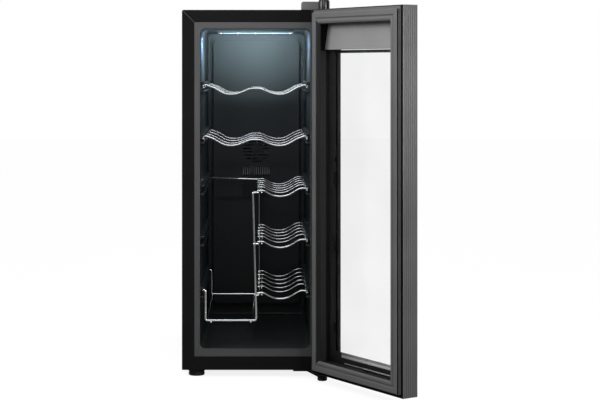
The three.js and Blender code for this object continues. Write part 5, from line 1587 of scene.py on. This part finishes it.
        # A darker copy of the rubber over the inner slope and bead, longer on the hinge side, is painted
        # shade.
        section = at_level(back, (0.8, 0.05), (0.1, 0.35), (-0.1, 1.0), (0.58, 2.3), (1.5, 2.95), (1.9, 2.6),
                           (1.0, 1.8), (0.9, 0.3))
        fold_shade = Shape.mitred(section, opening, middle, self.joint)
        over = at_level(face, (2.28, -1.56), (3.3, -0.73), (4.25, -0.33), (5.4, -0.23), (6.8, -0.38),
                        (7.6, -0.58), (7.6, -0.9), (5.4, -0.8), (3.5, -1.2), (2.6, -2.1))
        section = [*at_level(back, (0.5, 1.5), (0.56, 2.3)), *over, *at_level(back, (1.0, 1.8))]
        end = [(opening[0] + out, y, middle + opening[1] + out - self.joint) for out, y in section]
        fold_shade.join(Shape.mirrored_length(end, Vector((1.0, 1.0, -1.0)), middle)).outward()
        self.fit(fold_shade, "gasket_fold_shade", FOLD_SHADE, smooth=50.0)
        # A black strip in the outer undercut is painted shade.
        section = [*at_level(back, (width - 5.6, 1.4), (width - 1.5, 1.42)),
                   *at_level(face, (width - 1.5, -1.26), (width - 5.6, -1.5))]
        self._ring(section, opening, middle, "gasket_undercut_shade", DEEP_SHADE)

    def _panes(self, opening: tuple[float, float], middle: float) -> None:
        """Makes both panes with ground edges, the enamel borders fired on them and the sealed spacer."""
        for node in ("outer_glass", "inner_glass"):
            self.soften(node, CLEAR_GLASS, 0.5, 1)
        outer = self.span("outer_glass")
        inner = self.span("inner_glass")
        film, margin = self.film, self.border_margin
        window = (opening[0] - self.outer_border[0], opening[1] - self.outer_border[1])
        reach = outer.size.z / 2 - margin
        for name, finish, pane, face, ends, radius, hole_x, hole in (
                ("outer_border", ENAMEL, outer, outer.high.y + film, (middle - reach, middle + reach), 2.0,
                 window[0], (middle - window[1], middle + window[1])),
                ("inner_border", SOFT_ENAMEL, inner, inner.low.y - 2 * film,
                 (inner.low.z + margin, inner.high.z - margin), 0.0, self.window_half, self.window_span)):
            half = pane.size.x / 2 - margin
            border = Shape.plate((-half, face, ends[0]), (half, face + film, ends[1]), radius, 4)
            border.carved(Shape.plate((-hole_x, face - 1.0, hole[0]), (hole_x, face + 1.0, hole[1]), 1.0, 4))
            self.fit(border, name, finish)
        self._window_foot(inner)
        section = at_level(inner.high.y, (-1.6, 0.05), (-1.4, 0.45), (-0.4, 0.6), (0.15, 0.3), (0.15, 0.05))
        bead = Shape.mitred(section, (inner.size.x / 2, inner.size.z / 2), inner.middle.z, 0.02)
        self.fit(bead, "inner_pane_bead", SEALANT)
        spacer = self.span("glass_spacer")
        bar = Shape.block((-spacer.high.x, spacer.low.y, spacer.low.z), tuple(spacer.high))
        bar.carved(Shape.block((-self.bar_inset, spacer.low.y - 1.0, spacer.low.z + 8.0),
                               (self.bar_inset, spacer.high.y + 1.0, self.window_span[1])))
        self.fit(bar.rounded(0.3), "spacer_bar", SPACER, ["glass_spacer"])
        section = [*at_level(spacer.low.y, (0.1, 0.1)),
                   *at_level(spacer.high.y, (0.1, -0.1), (1.2, -0.4)),
                   *at_level(spacer.middle.y, (1.6, 0.0)),
                   *at_level(spacer.low.y, (1.2, 0.4))]
        bead = Shape.hoop(section, (spacer.size.x / 2, spacer.size.z / 2), spacer.middle.z, 1.0, 4)
        self.fit(bead, "pane_sealant", SEALANT)


# ---------------------------------------------------------------- studio

@dataclass(frozen=True)
class Studio(Assembly):
    """Pale floor, soft lamps, white surroundings and the camera."""

    eye: Point = (15.4, -2657.6, 530.2)
    lens: float = 92.79
    shift: tuple[float, float] = (0.0597, -0.2192)
    front_level: float = 0.15
    back_level: float = 1.0
    floor_glow: float = 0.85
    floor_grey: Colour = (0.24, 0.24, 0.24)
    bar_tint: Colour = (0.74, 0.95, 1.0)
    side_tint: Colour = (0.25, 0.5, 1.0)
    side_powers: tuple[float, float] = (0.75, 0.42)
    wash_power: float = 0.42
    glow_power: float = 0.27
    glow_radius: float = 0.003
    softboxes: tuple[tuple[str, Point, Point, tuple[float, float], float], ...] = (
        ("key_light", (-0.72, -0.58, 0.8), (0.05, -0.25, 0.5), (0.5, 0.36), 4.9),
        ("fill_light", (0.65, -1.0, 0.52), (0.15, -0.3, 0.35), (0.5, 0.4), 7.2),
        ("front_light", (-0.1, -0.95, 0.85), (0.0, -0.1, 0.5), (0.5, 0.4), 2.4))

    def build(self) -> None:
        """Sets up the studio."""
        scene = bpy.context.scene
        scene.view_settings.view_transform = "Standard"
        self._camera(scene)
        self._floor()
        self._world(scene)
        for lamp in self.softboxes:
            self._softbox(*lamp)
        self._bar_light()

    def _camera(self, scene: bpy.types.Scene) -> None:
        """Places the camera level in front of the cabinet."""
        data = bpy.data.cameras.new("camera")
        data.lens, data.sensor_width = self.lens, 36.0
        data.shift_x, data.shift_y = self.shift
        data.clip_start, data.clip_end = 0.05, 60.0
        camera = linked("camera", data)
        camera.location = self.datum.cabinet @ Vector(self.eye)
        camera.rotation_euler = (math.radians(90.0), 0.0, 0.0)
        scene.camera = camera

    def _floor(self) -> None:
        """Lays a round pale floor, white to the eye but for the shadow on it."""
        shape = Shape()
        bmesh.ops.create_circle(shape.bm, cap_ends=True, segments=96, radius=9.0)
        floor = linked("floor", shape.to_mesh("floor"))
        material = bpy.data.materials.new("pale_floor")
        material.use_nodes = True
        graph = Graph(material.node_tree)
        graph.fill(graph.shader, Base_Color=(*self.floor_grey, 1.0), Roughness=0.9, Specular_IOR_Level=0.0)
        glow = graph.fill(graph.node("ShaderNodeEmission"), Color=WHITE,
                          Strength=graph.math("MULTIPLY", graph.seen(), self.floor_glow))
        graph.surface("ShaderNodeAddShader", graph.shader.outputs[0], glow.outputs[0])
        floor.data.materials.append(material)

    def _world(self, scene: bpy.types.Scene) -> None:
        """Surrounds the scene with white to the eye, and with less light from the front than from behind."""
        world = bpy.data.worlds.new("studio")
        world.use_nodes = True
        scene.world = world
        graph = Graph(world.node_tree)
        parts = graph.node("ShaderNodeSeparateXYZ")
        graph.feed(graph.node("ShaderNodeTexCoord").outputs["Generated"], parts.inputs[0])
        level = graph.mapped(parts.outputs["Y"], self.front_level, self.back_level, -0.35, 0.35)
        graph.fill(world.node_tree.nodes["Background"], Color=WHITE,
                   Strength=graph.math("MAXIMUM", graph.seen(), level))

    def _softbox(self, name: str, place: Point, aim: Point, size: tuple[float, float],
                 power: float) -> bpy.types.Object:
        """Hangs a large soft lamp.

        Args:
            name: The lamp's name.
            place: Where it hangs, in metres.
            aim: The point that it faces, in metres.
            size: Its width and height, in metres.
            power: Its power in watts.

        Returns:
            The lamp's object.
        """
        data = bpy.data.lights.new(name, "AREA")
        data.shape, data.size, data.size_y, data.energy = "RECTANGLE", size[0], size[1], power
        lamp = linked(name, data)
        lamp.location, lamp.visible_camera = place, False
        lamp.rotation_euler = (Vector(aim) - Vector(place)).to_track_quat("-Z", "Y").to_euler()
        return lamp

    def _strip(self, name: str, place: Point, aim: Point, size: tuple[float, float], power: float,
               spread: float, tint: Colour) -> None:
        """Hangs a small strip lamp in the cabinet.

        Args:
            name: The lamp's name.
            place: Where it hangs, in cabinet space.
            aim: The point that it faces, in cabinet space.
            size: Its length and width, in millimetres.
            power: Its power in watts.
            spread: How wide its beam is, in degrees.
            tint: Its colour.
        """
        cabinet = self.datum.cabinet
        lamp = self._softbox(name, cabinet @ Vector(place), cabinet @ Vector(aim),
                             (size[0] / 1000.0, size[1] / 1000.0), power)
        lamp.data.color, lamp.data.spread, lamp.visible_glossy = tint, math.radians(spread), False

    def _bar_light(self) -> None:
        """Lets the light bar shine down, at the back wall, at both side walls and along the ceiling."""
        lens = self.span("light_lens")
        y, under = lens.middle.y, lens.low.z - 2.0
        self._strip("bar_down", (0.0, y, under), (0.0, y, 0.0), (120.0, 8.0), 0.03, 150.0, self.bar_tint)
        self._strip("bar_back", (0.0, lens.high.y + 4.0, under), (0.0, 356.0, under), (120.0, 5.0),
                    0.95, 62.0, self.bar_tint)
        self._strip("bar_up", (-8.0, 30.0, under - 34.0), (-8.0, 66.0, under), (110.0, 20.0),
                    0.06, 150.0, self.bar_tint)
        for side, power in zip((-1.0, 1.0), self.side_powers):
            self._strip("bar_side", (side * (lens.size.x / 2 + 4.0), y - 20.0, under),
                        (side * 95.0, y - 20.0, under - 22.0), (30.0, 5.0), power, 75.0, self.side_tint)
            self._strip("bar_wash", (side * 30.0, y + 30.0, under - 10.0),
                        (side * 95.0, 160.0, under - 40.0), (30.0, 5.0), self.wash_power, 110.0,
                        self.bar_tint)
        for index in range(Electrics.diodes):
            data = bpy.data.lights.new("bar_glow", "POINT")
            data.energy, data.color, data.shadow_soft_size = self.glow_power, self.bar_tint, self.glow_radius
            lamp = linked("bar_glow", data)
            x = (index - (Electrics.diodes - 1) / 2) * Electrics.diode_pitch
            lamp.location = self.datum.cabinet @ Vector((x, y + 12.0, under - 22.0))
            lamp.visible_glossy = False


# ---------------------------------------------------------------- assembly

def main() -> None:
    """Builds and dresses the wine cooler, and sets up the studio."""
    logging.basicConfig(level=logging.INFO, format="%(name)s: %(message)s")
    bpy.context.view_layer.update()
    datum = Datum.read()
    shelves = [WaveShelf(datum, node, full=node.startswith("full")) for node in SHELF_NODES]
    for assembly in (Studio(datum), Cabinet(datum), CoolingUnit(datum), Electrics(datum), *shelves,
                     BottleRack(datum), Hinges(datum), Door(datum)):
        assembly.build()
    bpy.context.view_layer.update()


if __name__ == "__main__":
    main()
